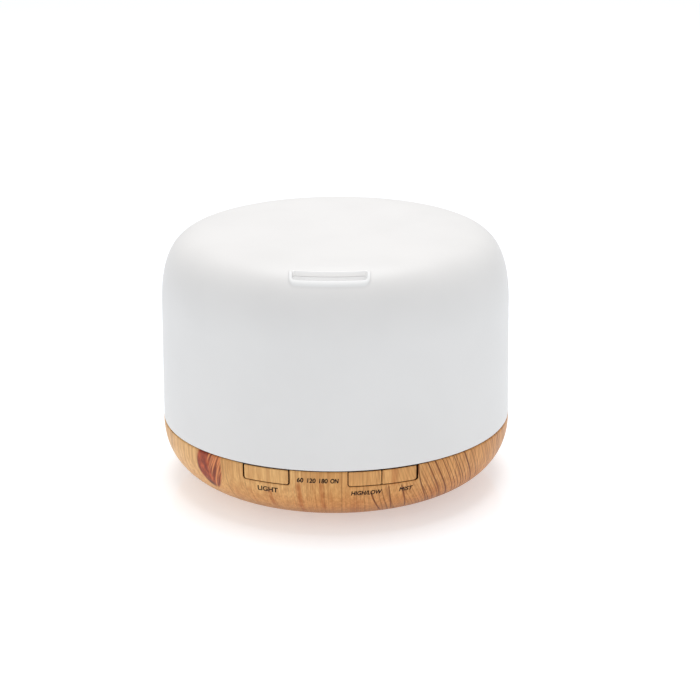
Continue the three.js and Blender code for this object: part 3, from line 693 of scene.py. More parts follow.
def legend(text, deg, z, height, width=None, name=None):
    cu = bpy.data.curves.new("legend", "FONT")
    cu.body = text
    cu.align_x, cu.align_y = "CENTER", "CENTER"
    cu.size = 1.0
    cu.resolution_u = 6
    cu.offset = 0.0
    o = bpy.data.objects.new("legend", cu)
    bpy.context.scene.collection.objects.link(o)
    dg = bpy.context.evaluated_depsgraph_get()
    me = bpy.data.meshes.new_from_object(o.evaluated_get(dg))
    bpy.data.objects.remove(o)
    bm = bmesh.new()
    bm.from_mesh(me)
    bmesh.ops.triangulate(bm, faces=bm.faces)
    # long faces across the curve are split, so the print follows the bowl
    for _ in range(2):
        long = [e for e in bm.edges if e.calc_length() > 0.12]
        if not long:
            break
        bmesh.ops.subdivide_edges(bm, edges=long, cuts=1)
        bmesh.ops.triangulate(bm, faces=bm.faces)
    co = np.array([v.co for v in bm.verts])
    lo, hi = co.min(0), co.max(0)
    sy = height / (hi[1] - lo[1])
    sx = sy if width is None else width / (hi[0] - lo[0])
    mx, my = (lo[0] + hi[0]) / 2, (lo[1] + hi[1]) / 2
    # heavier strokes: the outline laid down several times, a fraction of a millimetre apart
    source = bm.copy()
    bm.clear()
    for k, (ox, oy) in enumerate([(0, 0)] + [(math.cos(t), math.sin(t)) for t in [j * math.pi / 4 for j in range(8)]]):
        part = source.copy()
        for v in part.verts:
            u, w = (v.co.x - mx) * sx + ox * STROKE, (v.co.y - my) * sy + oy * STROKE
            zz = z + w
            u += w * 0.12  # a slight slant
            r = bowl_r(zz) + 0.03 + 0.002 * k
            a = math.radians(deg) + u / bowl_r(z)
            v.co = Vector((r * math.sin(a), -r * math.cos(a), zz)) * MM
        tmp = bpy.data.meshes.new("part")
        part.to_mesh(tmp)
        bm.from_mesh(tmp)
        part.free()
        bpy.data.meshes.remove(tmp)
    source.free()
    bmesh.ops.recalc_face_normals(bm, faces=bm.faces)
    for f in bm.faces:
        c = f.calc_center_median()
        if f.normal.x * c.x + f.normal.y * c.y < 0:
            f.normal_flip()
    bm.to_mesh(me)
    bm.free()
    me.name = name
    o = bpy.data.objects.new(name, me)
    bpy.context.scene.collection.objects.link(o)
    me.shade_smooth()
    return o


# ------------------------------------------------------------------ water tank and what stands in it
def build_tank():
    g = Geo()
    outline = [
        (8.0, 29.2, 0.2), (8.0, 31.2, 0.8), (15.0, 32.2, 1.5), (18.0, 35.0, 1.5), (60.6, 37.0, 3.0), (66.0, 41.2, 4.0),
        (67.2, 84.0, 0.9), (69.2, 84.0, 0.9), (68.3, 33.0, 1.2), (81.1, 33.0, 0.5), (81.1, 31.0, 0.5), (66.5, 31.0, 1.0), (62.0, 34.6, 1.0),
        (19.5, 32.8, 1.0), (17.0, 29.2, 0.8), (14.6, 29.2, 0.3), (14.6, 25.7, 0.3), (12.4, 25.7, 0.3), (12.4, 29.2, 0.0),
    ]
    pts = rounded(outline, n=6)
    # extra points up the walls keep the shading even
    dense = []
    for a, b in zip(pts, pts[1:] + pts[:1]):
        dense.append(a)
        m = int(math.hypot(b[0] - a[0], b[1] - a[1]) // 6)
        for k in range(1, m + 1):
            dense.append((a[0] + (b[0] - a[0]) * k / (m + 1), a[1] + (b[1] - a[1]) * k / (m + 1)))
    lathe(dense, 192, geo=g)
    # chimney
    out = rrect(53.0, 66.8, -13.0, 13.0, [2.6] * 4, n=6)
    ins = [((p[0] - n[0] * 2.1, p[1] - n[1] * 2.1), n) for p, n in out]
    g.join(tube_z(out, ins, 27.3, 90.0, r=0.6))
    for x, y in CASE_SCREWS:
        lathe(rounded([(0, 3.5, 0), (1.65, 3.5, 0.1), (3.5, 3.5, 0.3), (3.5, 34.6, 0.1), (0, 34.6, 0)], n=3, closed=False), 32, x, y, g)
    for x, y in ((-57, 0), (-30, 20)):
        lathe([(0, 14.3), (2.6, 14.3), (2.6, 34.4), (0, 34.4)], 24, x, y, g)
    for y in (-17.6, 17.6):
        lathe([(0, 25.7), (2.9, 25.7), (2.9, 31.5), (0, 31.5)], 24, 0, y, g)
    for deg in (45, 135, 225, 315):
        x, y = 27.8 * math.cos(math.radians(deg)), 27.8 * math.sin(math.radians(deg))
        lathe([(0, 27.5), (1.0, 27.5), (1.0, 29.7), (2.0, 29.7), (2.0, 34.0), (0, 34.0)], 20, x, y, g)
    for x0, x1 in ((-41.5, -38.8), (38.8, 41.5)):
        g.join(box_geo(x0, x1, -66.1, -62.9, 20.0, 31.5))
    return g.obj("water_tank_body", sharp=42)


def build_level_marks():
    """Raised filling marks on the inside of the tank's rear wall."""
    g = Geo()
    for z, half in ((46.0, 3.2), (54.0, 3.2), (62.0, 3.2), (70.0, 7.0)):
        r = 66.0 + (67.2 - 66.0) * (z - 41.2) / (84.0 - 41.2)
        rows = []
        for dz, d in ((-0.45, -0.1), (-0.3, 0.25), (0.3, 0.25), (0.45, -0.1)):
            row = []
            for k in range(25):
                a = math.radians(180 - half + 2 * half * k / 24)
                e = min(k, 24 - k) / 2.0
                dd = d if e >= 1 else -0.1 + (d + 0.1) * e
                row.append((-(r - dd) * math.sin(a) * -1, -(r - dd) * math.cos(a), z + dz))
            rows.append(g.loop(row))
        for a, b in zip(rows, rows[1:]):
            g.bridge(a, b, closed=False)
    return g.obj("tank_level_marks", sharp=60)


def build_hood():
    h = 13.0
    outline = rounded(
        [(-h - 1.7, 80.5, 0.5), (-h - 0.3, 80.5, 0.5), (-h - 0.3, 96.8, 1.0), (h + 0.3, 96.8, 1.0), (h + 0.3, 80.5, 0.5), (h + 1.7, 80.5, 0.5), (h + 1.7, 98.4, 2.4), (-h - 1.7, 98.4, 2.4)], n=8,
    )
    o = prism_x(outline, 53.2, 64.4).obj("duct_hood_shell", sharp=0)
    bevelled(o, 0.4, 3, 50)
    g = Geo()
    for s in (-1, 1):
        y0, y1 = (h - 1.5, h + 0.5) if s > 0 else (-h - 0.5, -h + 1.5)
        g.join(box_geo(57.2, 60.4, y0, y1, 90.3, 92.0))
    rib = g.obj("duct_hood_ribs", sharp=30)
    return o, rib


# ------------------------------------------------------------------ transducer
def build_transducer():
    disc = lathe(rounded([(0, 26.9, 0), (10.0, 26.9, 0.15), (10.0, 27.9, 0.15), (0, 27.9, 0)], n=3, closed=False), 96).obj("transducer_face", sharp=45)
    # shallow round electrode with a soldered rim on the wet side
    gasket = lathe(rounded([(8.8, 25.9, 0.3), (8.8, 26.6, 0.1), (10.4, 26.6, 0.0), (10.4, 28.2, 0.0), (8.8, 28.2, 0.1), (8.8, 28.9, 0.35), (12.1, 28.9, 0.35), (12.1, 25.9, 0.3)], n=4), 96).obj("transducer_seal", sharp=45)
    return disc, gasket


# ------------------------------------------------------------------ underside
def screw_geo(x, y, z, head_r, head_h, shank_r, length):
    g = lathe(
        rounded([(0, z - head_h, 0), (head_r * 0.55, z - head_h * 0.98, 0.3), (head_r * 0.88, z - head_h * 0.8, 0.3), (head_r, z - head_h * 0.35, 0.2), (head_r, z, 0.1), (shank_r, z, 0.0), (shank_r, z + length, 0.2), (0, z + length, 0)], n=4, closed=False), 48, x, y)
    return g


def build_screw(name, x, y, z, head_r, head_h, shank_r, length, turn=20):
    o = screw_geo(x, y, z, head_r, head_h, shank_r, length).obj(name, sharp=0)
    # cross recess with tapering arms
    g = Geo()
    for a in (turn, turn + 90):
        c, s = math.cos(math.radians(a)), math.sin(math.radians(a))
        lo, hi, w, d = head_r * 0.42, head_r * 0.58, head_r * 0.13, head_h * 0.55
        pts = []
        for zz, l, ww in ((z - head_h - 0.4, hi * 1.05, w * 1.15), (z - head_h + d, lo * 0.55, w * 0.6)):
            for dx, dy in ((-l, -ww), (l, -ww), (l, ww), (-l, ww)):
                pts.append(g.add((x + dx * c - dy * s, y + dx * s + dy * c, zz)))
        q = pts
        g.f += [[q[0], q[1], q[2], q[3]][::-1], [q[4], q[5], q[6], q[7]]]
        for k in range(4):
            m = (k + 1) % 4
            g.f.append([q[k], q[m], q[4 + m], q[4 + k]])
    for part in (g,):
        me_objs = []
        half = len(g.f) // 2
        for k in range(2):
            h = Geo()
            h.v = list(g.v[k * 8 : k * 8 + 8])
            h.f = [[i - k * 8 for i in f] for f in g.f[k * half : (k + 1) * half]]
            cut(o, h.obj("recess", sharp=0))
    o.data.shade_smooth()
    o.data.set_sharp_from_angle(angle=math.radians(40))
    return o


def build_plate():
    g = lathe(rounded([(0, PLATE_Z0, 0), (PLATE_R, PLATE_Z0, 0.0), (PLATE_R, PLATE_Z1, 0.0), (0, PLATE_Z1, 0)], closed=False), 160)
    o = g.obj("bottom_cover_plate", sharp=0)

    def stadium(x0, x1, y0, y1, z0, z1):
        r = min(x1 - x0, y1 - y0) / 2
        pts = rrect(x0, x1, y0, y1, [r * 0.999] * 4, n=8, step=50)
        c = Geo()
        a = c.loop([(p[0], p[1], z0) for p, n in pts])
        b = c.loop([(p[0], p[1], z1) for p, n in pts])
        c.bridge(a, b)
        c.f += [a[::-1], b]
        return c.obj("cutter", sharp=0)

    for i in range(-3, 4):
        y = i * 4.4
        half = math.sqrt(16.4**2 - y * y)
        for sx0, sx1 in ((-half, -1.1), (1.1, half)):
            cut(o, stadium(FAN_X + sx0, FAN_X + sx1, y - 1.2, y + 1.2, 0, 4))
    for x, y in CASE_SCREWS:
        cut(o, lathe([(0, 0.0), (3.2, 0.0), (3.2, 2.1), (0, 2.1)], 48, x, y).obj("cutter", sharp=0))
    for x, y in FEET:
        cut(o, lathe([(0, 0.0), (4.9, 0.0), (4.9, 2.0), (0, 2.0)], 64, x, y).obj("cutter", sharp=0))
    for b in (-16, 16):
        cut(o, lathe([(0, 0.0), (3.1, 0.0), (3.1, 2.9), (0, 2.9)], 48, FAN_X - 16, b).obj("cutter", sharp=0))
    # a shallow ring moulded round the grille
    cut(o, lathe([(19.2, 0.0), (20.2, 0.0), (20.2, 1.05), (19.2, 1.05)], 96, FAN_X, 0).obj("cutter", sharp=0))
    bevelled(o, 0.18, 2, 35)
    g = Geo()
    for b in (-16, 16):
        lathe([(0, 3.0), (3.9, 3.0), (3.9, 5.9), (0, 5.9)], 24, FAN_X - 16, b, g)
        lathe([(0, 3.0), (2.2, 3.0), (2.2, 5.9), (0, 5.9)], 20, FAN_X + 10, b, g)
    posts = g.obj("bottom_cover_pillars", sharp=40)
    return o, posts


def build_foot(k, x, y):
    return lathe(rounded([(0, 0.0, 0), (2.6, 0.0, 0.3), (3.0, 0.12, 0.3), (3.7, 0.0, 0.3), (4.5, 0.5, 0.4), (4.5, 1.7, 0.1), (0, 1.7, 0)], n=4, closed=False), 64, x, y).obj(f"foot_pad_{k}", sharp=60)


# ------------------------------------------------------------------ power socket
def build_socket():
    """Barrel of the power socket, looking out of the hole at the back."""
    g = Geo()

    def ring_y(r, y, n=64):
        return g.loop([(r * math.cos(2 * math.pi * i / n), y, JACK_Z + r * math.sin(2 * math.pi * i / n)) for i in range(n)])

    pts = rounded([(4.6, 70.0, 0), (4.6, 77.0, 0.25), (3.15, 77.0, 0.35), (3.15, 67.0, 0.2), (1.35, 67.0, 0.1), (1.35, 64.0, 0)], n=4, closed=False)
    rings = [ring_y(r, y) for r, y in pts]
    for a, b in zip(rings, rings[1:]):
        g.bridge(a, b)
    barrel = g.obj("socket_barrel", sharp=45)
    body = box_geo(-4.6, 4.6, 62.0, 72.3, 10.8, 20.8).obj("socket_housing", sharp=0)
    bevelled(body, 0.35, 2)
    g = Geo()
    pts = rounded([(0.0, 62.5, 0), (1.0, 62.5, 0), (1.0, 75.6, 0.4), (0.0, 75.6, 0)], n=4, closed=False)
    rings = []
    for r, y in pts:
        if r < 1e-6:
            rings.append([g.add((0, y, JACK_Z))])
        else:
            rings.append(g.loop([(r * math.cos(2 * math.pi * i / 32), y, JACK_Z + r * math.sin(2 * math.pi * i / 32)) for i in range(32)]))
    for a, b in zip(rings, rings[1:]):
        if len(a) == 1:
            g.fan(b, a[0])
        elif len(b) == 1:
            g.fan(a, b[0])
        else:
            g.bridge(a, b)
    pin = g.obj("socket_centre_pin", sharp=45)
    # spring contact inside the bore
    g = Geo()
    for y0, y1, zz in ((68.2, 75.0, JACK_Z - 2.9),):
        g.join(box_geo(-0.8, 0.8, y0, y1, zz, zz + 0.25))
    leaf = g.obj("socket_leaf", sharp=30)
    return barrel, body, pin, leaf


# ------------------------------------------------------------------ fan rotor and frame
def build_rotor():
    x, z0 = FAN_X, 6.2
    g = lathe(rounded([(0, z0 + 0.3, 0), (8.6, z0 + 0.3, 0.8), (9.6, z0 + 1.0, 0.6), (9.6, z0 + 7.9, 0.2), (8.4, z0 + 7.9, 0.2), (8.4, z0 + 1.9, 0.3), (1.0, z0 + 1.9, 0.2), (1.0, z0 + 7.0, 0.2), (0, z0 + 7.0, 0)], n=4, closed=False), 96, x, 0)
    for b in range(7):
        a0 = 2 * math.pi * b / 7
        rows = {0: [], 1: []}
        nr, nc = 10, 12
        for side in (0, 1):
            for i in range(nr + 1):
                r = 9.3 + (17.7 - 9.3) * i / nr
                sweep = 0.10 * ((r - 9.3) / 8.4) ** 2
                row = []
                for j in range(nc + 1):
                    c = j / nc
                    ang = a0 + sweep + (c - 0.5) * 0.66 * 13.4 / r * 0.9
                    z = z0 + 1.3 + 6.0 * c + 0.9 * math.sin(math.pi * c)
                    thick = 0.55 * math.sin(math.pi * min(max(c, 0.04), 0.96)) ** 0.5
                    row.append((x + r * math.cos(ang), r * math.sin(ang), z + (thick if side else -thick) * 0.6))
                rows[side].append(g.loop(row))
        for side in (0, 1):
            for a, c in zip(rows[side], rows[side][1:]):
                g.bridge(a, c, closed=False)
        for k in (0, nr):
            g.bridge(rows[0][k], rows[1][k], closed=False)
        for k in (0, nc):
            g.bridge([r[k] for r in rows[0]], [r[k] for r in rows[1]], closed=False)
    return g.obj("fan_impeller", sharp=40)


# ------------------------------------------------------------------ materials
class Nodes:
    """Short names for building a node tree."""

    def __init__(self, name):
        self.m = bpy.data.materials.new(name)
        self.m.use_nodes = True
        self.t = self.m.node_tree
        self.t.nodes.clear()
        self.out = self.t.nodes.new("ShaderNodeOutputMaterial")
        self.b = self.t.nodes.new("ShaderNodeBsdfPrincipled")
        self.t.links.new(self.b.outputs[0], self.out.inputs[0])
        self.co = self.t.nodes.new("ShaderNodeTexCoord").outputs["Object"]
        self._xyz = None

    def put(self, socket, value):
        if isinstance(value, bpy.types.NodeSocket):
            self.t.links.new(value, socket)
        else:
            socket.default_value = value

    def math(self, op, a, b=None, c=None, clamp=False):
        n = self.t.nodes.new("ShaderNodeMath")
        n.operation = op
        n.use_clamp = clamp
        for k, v in enumerate((a, b, c)):
            if v is not None:
                self.put(n.inputs[k], v)
        return n.outputs[0]

    def xyz(self):
        if self._xyz is None:
            n = self.t.nodes.new("ShaderNodeSeparateXYZ")
            self.put(n.inputs[0], self.co)
            self._xyz = tuple(n.outputs)
        return self._xyz

    def vec(self, x, y, z):
        n = self.t.nodes.new("ShaderNodeCombineXYZ")
        for k, v in enumerate((x, y, z)):
            self.put(n.inputs[k], v)
        return n.outputs[0]

    def scaled(self, sx, sy, sz, vector=None):
        n = self.t.nodes.new("ShaderNodeVectorMath")
        n.operation = "MULTIPLY"
        self.put(n.inputs[0], vector or self.co)
        n.inputs[1].default_value = (sx, sy, sz)
        return n.outputs[0]

    def noise(self, scale, detail=3.0, rough=0.55, vector=None, distortion=0.0):
        n = self.t.nodes.new("ShaderNodeTexNoise")
        self.put(n.inputs["Vector"], vector or self.co)
        n.inputs["Scale"].default_value = scale
        n.inputs["Detail"].default_value = detail
        n.inputs["Roughness"].default_value = rough
        n.inputs["Distortion"].default_value = distortion
        return n.outputs[0]

    def voronoi(self, scale, vector=None, feature="F1"):
        n = self.t.nodes.new("ShaderNodeTexVoronoi")
        n.feature = feature
        self.put(n.inputs["Vector"], vector or self.co)
        n.inputs["Scale"].default_value = scale
        return n.outputs["Distance"]

    def span(self, v, a, b, lo=0.0, hi=1.0, smooth=True):
        n = self.t.nodes.new("ShaderNodeMapRange")
        n.interpolation_type = "SMOOTHSTEP" if smooth else "LINEAR"
        n.clamp = True
        for k, x in enumerate((v, a, b, lo, hi)):
            self.put(n.inputs[k], x)
        return n.outputs[0]

    def mix(self, f, a, b, blend="MIX"):
        n = self.t.nodes.new("ShaderNodeMix")
        n.data_type = "RGBA"
        n.blend_type = blend
        self.put(n.inputs[0], f)
        self.put(n.inputs[6], (*a, 1) if isinstance(a, tuple) else a)
        self.put(n.inputs[7], (*b, 1) if isinstance(b, tuple) else b)
        return n.outputs[2]

    def bump(self, height, strength=0.3, distance=0.0002, normal=None):
        n = self.t.nodes.new("ShaderNodeBump")
        n.inputs["Strength"].default_value = strength
        n.inputs["Distance"].default_value = distance
        self.put(n.inputs["Height"], height)
        if normal is not None:
            self.put(n.inputs["Normal"], normal)
        return n.outputs[0]

    def finish(self, color=None, rough=None, normal=None, metal=None, **extra):
        b = self.b
        if color is not None:
            self.put(b.inputs["Base Color"], (*color, 1) if isinstance(color, tuple) else color)
        if rough is not None:
            self.put(b.inputs["Roughness"], rough)
        if metal is not None:
            b.inputs["Metallic"].default_value = metal
        if normal is not None:
            self.put(b.inputs["Normal"], normal)
        for k, v in extra.items():
            b.inputs[k.replace("_", " ")].default_value = v
        return self.m


def lin(r, g, b):
    f = lambda c: (c / 255 / 12.92) if c / 255 <= 0.04045 else ((c / 255 + 0.055) / 1.055) ** 2.4
    return (f(r), f(g), f(b))


def moulded(name, color, rough=0.45, var=0.02, grain=1800.0, grain_depth=0.25, distance=0.00003, specular=0.5, coat=0.0):
    """Injection-moulded plastic: faint flow tone, fine mould texture, slightly uneven gloss."""
    n = Nodes(name)
    flow = n.noise(28.0, 3, 0.5)
    fine = n.noise(grain, 2, 0.6)
    spots = n.noise(420.0, 2, 0.5)
    dark = tuple(c * (1 - 3 * var) for c in color)
    lite = tuple(min(1.0, c * (1 + var)) for c in color)
    c = n.mix(n.span(flow, 0.3, 0.7), dark, lite)
    c = n.mix(n.span(spots, 0.62, 0.8, 0.0, 0.35), c, tuple(x * (1 - 2.2 * var) for x in color))
    r = n.math("ADD", n.span(flow, 0.25, 0.75, rough - 0.04, rough + 0.03), n.span(fine, 0.3, 0.7, -0.02, 0.03))
    nb = n.bump(fine, grain_depth, distance)
    nb = n.bump(n.noise(60.0, 2, 0.5), 0.06, 0.0002, nb)
    kw = {"Specular_IOR_Level": specular}
    if coat:
        kw["Coat_Weight"] = coat
        kw["Coat_Roughness"] = 0.25
    return n.finish(c, r, nb, 0.0, **kw)


def cover_plastic():
    """The cover's white, with a painted highlight on the raised band round the slot and a faint painted glow on the cut
    edge of the wall inside the slot.
    """
    n = Nodes("cover_plastic")
    color, rough = (0.822, 0.811, 0.803), 0.46
    x, y, z = n.xyz()
    r = n.math("MULTIPLY", n.math("SQRT", n.math("ADD", n.math("MULTIPLY", x, x), n.math("MULTIPLY", y, y))), 1000.0)
    ax = n.math("MULTIPLY", n.math("ABSOLUTE", x), 1000.0)
    front = n.span(y, -0.03, -0.04, smooth=False)
    # distance outside the slot's rounded outline, stretched so the narrower side lip measures the same
    dx = n.math("MULTIPLY", n.math("MAXIMUM", n.math("SUBTRACT", ax, SLOT_HALF - 1.1), 0.0), 1.27)
    dr = n.math("MAXIMUM", n.math("SUBTRACT", r, -SLOT_F - 1.1), 0.0)
    out = n.math("SUBTRACT", n.math("SQRT", n.math("ADD", n.math("MULTIPLY", dx, dx), n.math("MULTIPLY", dr, dr))), 1.2)
    # painted highlight: the raised band round the slot is coloured lighter than the rest of the cover
    painted_lip_highlight = n.math("MULTIPLY", n.math("MULTIPLY", n.span(out, 2.2, 1.9), n.span(out, 0.0, 0.15)), n.math("MULTIPLY", front, n.span(r, 69.8, 71.0)))
    painted_lip_highlight = n.math("MULTIPLY", painted_lip_highlight, n.span(z, 0.106, 0.108))
    # the cut edge of the wall inside the slot, given a faint painted glow that brightens the shaded slot
    inside = n.math("MULTIPLY", n.span(out, 0.1, 0.0), n.math("MULTIPLY", front, n.span(r, 69.3, 69.55)))
    flow, fine, spots = n.noise(28.0, 3, 0.5), n.noise(2200.0, 2, 0.6), n.noise(420.0, 2, 0.5)
    c = n.mix(n.span(flow, 0.3, 0.7), tuple(v * 0.982 for v in color), tuple(v * 1.006 for v in color))
    c = n.mix(n.span(spots, 0.62, 0.8, 0.0, 0.35), c, tuple(v * 0.987 for v in color))
    c = n.mix(painted_lip_highlight, c, (0.865, 0.865, 0.865))
    rg = n.math("ADD", n.span(flow, 0.25, 0.75, rough - 0.04, rough + 0.03), n.span(fine, 0.3, 0.7, -0.02, 0.03))
    nb = n.bump(n.noise(60.0, 2, 0.5), 0.06, 0.0002, n.bump(fine, 0.18, 0.00002))
    # painted light: the cut edge inside the slot glows faintly
    n.b.inputs["Emission Color"].default_value = (1.0, 1.0, 1.0, 1)
    n.put(n.b.inputs["Emission Strength"], n.math("MULTIPLY", inside, 0.23))
    return n.finish(c, rg, nb, 0.0, Specular_IOR_Level=0.45)


def chute_plastic():
    """Thin white plastic behind the slot, with a faint painted glow that brightens the shaded slot."""
    m = moulded("chute_plastic", (0.84, 0.84, 0.84), 0.5, 0.008, 2200.0, 0.18, 0.00002, 0.4)
    b = next(k for k in m.node_tree.nodes if k.type == "BSDF_PRINCIPLED")
    # painted light: the chute glows faintly so the slot behind the cover reads bright
    b.inputs["Emission Color"].default_value = (1.0, 1.0, 1.0, 1)
    b.inputs["Emission Strength"].default_value = 0.21
    return m


def metal(name, color, rough=0.32, grain=(900.0, 900.0, 60.0), depth=0.12, spots=0.04):
    n = Nodes(name)
    brushed = n.noise(1.0, 3, 0.65, vector=n.scaled(*grain))
    blot = n.noise(240.0, 3, 0.6)
    c = n.mix(n.span(blot, 0.35, 0.75), color, tuple(x * (1 - 4 * spots) for x in color))
    r = n.math("ADD", n.span(brushed, 0.3, 0.7, rough - 0.08, rough + 0.08), n.span(blot, 0.5, 0.8, 0.0, 0.1))
    return n.finish(c, r, n.bump(brushed, depth, 0.00004), 1.0)


# print colours; deep also serves as the painted shade towards the foot of the bowl
WOOD = dict(pale=(246, 197, 130), tan=(231, 175, 107), warm=(228, 162, 98), deep=(209, 134, 72), band=(188, 108, 52), grain=(176, 108, 54), faint=(150, 82, 38), dark=(88, 36, 12))
KNOT = dict(dark=(126, 32, 10), core=(204, 88, 42), top=(138, 36, 16), foot=(72, 26, 16), streak_dark=(122, 44, 20), streak_light=(226, 140, 86))
SINGLE_LINES = [
    (12.3, -0.1, 0.0135, 10.5, 24.0, 0.42, 1.0),
    (17.6, 0.05, 0.005, 8.0, 24.0, 0.36, 0.8),
    (21.4, 0.1, 0.006, 8.5, 24.0, 0.4, 0.9),
    (28.2, 0.02, 0.013, -5.0, 24.0, 0.36, 0.85),
    (46.6, 0.28, 0.008, -5.0, 24.0, 0.42, 0.95),
    (34.3, 0.3, 0.006, -5.0, 24.0, 0.42, 0.95),
    (31.6, 0.28, 0.006, -5.0, 24.0, 0.36, 0.85),
    (37.2, 0.3, 0.006, -5.0, 24.0, 0.3, 0.7),
    (41.8, 0.3, 0.006, -5.0, 24.0, 0.3, 0.75),
    (-66.0, -0.12, -0.012, -5.0, 11.0, 0.34, 0.7),
    (-67.3, -0.12, -0.012, -5.0, 9.0, 0.3, 0.5),
    (-36.6, 0.0, 0.0, -5.0, 9.0, 0.2, 0.4),
]


def wood_print(name, tone=0.0, fine=1.0):
    """A wood-grain transfer print on satin plastic: growth lines run down the bowl, leaning over on the right."""
    n = Nodes(name)
    M, A = (lambda a, b: n.math("MULTIPLY", a, b)), (lambda a, b: n.math("ADD", a, b))
    S = lambda a, b: n.math("SUBTRACT", a, b)
    x, y, z = n.xyz()
    theta = n.math("ARCTAN2", x, M(y, -1.0))
    deg = M(theta, 180 / math.pi)
    zmm = M(z, 1000.0)
    down = n.math("MAXIMUM", S(31.0, zmm), 0.0)  # millimetres below the rim
    below = lambda d: n.math("MAXIMUM", S(down, d), 0.0)
    sq = lambda v: M(v, v)
    # a window on the angle or the depth, with soft ends
    win = lambda v, a, b, soft: M(n.span(v, a - soft, a + soft), n.span(v, b - soft, b + soft, 1.0, 0.0))

    slow = n.noise(11.0, 2, 0.45, vector=n.scaled(1.0, 1.0, 0.8))
    mid = n.noise(40.0, 2, 0.5, vector=n.scaled(1.0, 1.0, 0.35))
    fib = n.noise(1.0, 3, 0.6, vector=n.scaled(1500.0, 1500.0, 80.0))
    fib2 = n.noise(1.0, 2, 0.55, vector=n.scaled(620.0, 620.0, 26.0))

    # how far the lines lean, in degrees per millimetre of depth
    lean = A(n.span(deg, 2.0, 38.0, 0.0, 0.42), n.span(deg, 74.0, 130.0, 0.0, -0.42))
    lean = A(lean, A(n.span(deg, -34.0, -44.0, 0.0, -0.2), n.span(deg, -90.0, -140.0, 0.0, 0.2)))
    u = S(deg, M(lean, A(M(down, 0.72), M(sq(down), 0.015))))
    u = A(u, A(M(S(slow, 0.5), 3.0), M(S(mid, 0.5), 0.9)))
    # growth lines per degree change from place to place; their total round the bowl is whole
    parts = [(-180.0, -66.0, 0.8), (-66.0, -49.0, 0.3), (-49.0, -36.0, 0.9), (-36.0, -12.0, 1.15), (-12.0, 5.0, 0.7), (5.0, 16.0, 1.0), (16.0, 31.0, 0.5), (31.0, 60.0, 0.72)]
    so_far = sum((b - a) * k for a, b, k in parts)
    whole = math.ceil(so_far + 84.0)
    parts.append((60.0, 180.0, (whole - so_far) / 120.0))
    count = None
    for a, b, k in parts:
        seg = n.span(u, a, b, 0.0, (b - a) * k, smooth=False)
        count = seg if count is None else A(count, seg)

    def white(v):
        w = n.t.nodes.new("ShaderNodeTexWhiteNoise")
        w.noise_dimensions = "1D"
        n.put(w.inputs["W"], v)
        return w.outputs["Value"]

    line_id, f = n.math("FLOOR", count), n.math("FRACT", count)
    pick, pick2 = white(line_id), white(A(line_id, 0.37))
    rise = n.math("POWER", f, n.span(pick2, 0.0, 1.0, 2.2, 7.0, smooth=False))  # darker towards the late wood
    drop = n.span(f, 0.9, 1.0, 1.0, 0.0)  # and ends abruptly
    thin = M(M(rise, drop), n.span(pick, 0.1, 0.9, 0.3, 1.0, smooth=False))
    count2 = M(count, 2.0)
    f2 = n.math("FRACT", A(count2, 0.35))
    pick3 = white(A(n.math("FLOOR", A(count2, 0.35)), 0.61))
    faint = M(M(n.math("POWER", f2, 3.0), n.span(f2, 0.85, 1.0, 1.0, 0.0)), pick3)

    # how strongly the lines show, by place
    right = n.span(deg, 25.0, 33.0)
    show = A(n.span(deg, 3.0, 7.0, 0.0, 0.5), M(n.span(deg, 14.0, 18.0), 0.2))
    show = A(show, M(right, 0.42))
    show = A(show, M(win(deg, -12.0, 5.0, 1.5), 0.42))
    show = A(show, M(win(deg, -36.5, -12.0, 1.5), 0.36))
    show = A(show, n.span(deg, -66.0, -70.0, 0.0, 0.5))
    show = M(show, n.span(down, 4.0, 12.0, 0.72, 1.0))
    # the part behind the front is seamless with the right side
    soft_fade = n.span(mid, 0.3, 0.6, 0.6, 1.0)
    thin_v = M(M(thin, show), M(soft_fade, n.span(fib2, 0.25, 0.55, 0.6, 1.0)))
    faint_v = M(M(faint, A(M(show, 0.75), 0.22)), n.span(fib2, 0.3, 0.6, 0.5, 1.0))

    pale, tan = lin(*WOOD["pale"]), lin(*WOOD["tan"])
    warm, deep = lin(*WOOD["warm"]), lin(*WOOD["deep"])
    dark = lin(*WOOD["dark"])
    low = n.span(down, 8.0, 19.0)
    col = n.mix(n.span(A(M(mid, 0.6), M(slow, 0.4)), 0.35, 0.65), pale, tan)
    # warmer towards the right; darker and deeper towards the foot, which is painted shade where the bowl turns under
    warmth = A(M(right, 0.55), M(win(deg, 4.0, 27.0, 3.0), 0.3))
    col = n.mix(warmth, col, warm)
    # painted shade: the print darkens towards the foot
    foot = M(low, A(n.span(deg, -40.0, -10.0, 0.25, 0.5), 0.0))
    col = n.mix(foot, col, deep)
    # broad brown bands at set places: middle, half width, from, to, strength
    bands = [(-9.9, 1.1, 6.0, 30.0, 0.8), (-2.3, 1.0, 5.0, 21.0, 0.75), (-4.6, 0.4, 8.0, 24.0, 0.35), (-19.7, 0.9, 11.0, 21.0, 0.7), (20.1, 1.5, -9.0, 8.2, 0.75),
             (24.0, 0.6, 12.0, 30.0, 0.45), (-26.6, 0.6, 12.0, 24.0, 0.4), (-57.0, 0.5, 2.0, 18.0, 0.3), (8.5, 2.2, 14.0, 30.0, 0.4), (-33.0, 0.8, 12.0, 24.0, 0.35),
             (36.6, 1.6, 12.0, 26.0, 0.4), (-12.0, 0.3, 4.0, 24.0, 0.3), (0.6, 0.4, 10.0, 26.0, 0.35)]
    for c, h, d0, d1, k in bands:
        off = n.math("ABSOLUTE", S(A(deg, M(S(mid, 0.5), 1.4)), c))
        m = M(n.span(off, h * 1.15, h * 0.35, 0.0, k), win(down, d0, d1, 2.0))
        col = n.mix(M(m, n.span(fib2, 0.3, 0.6, 0.6, 1.0)), col, lin(*WOOD["band"]))
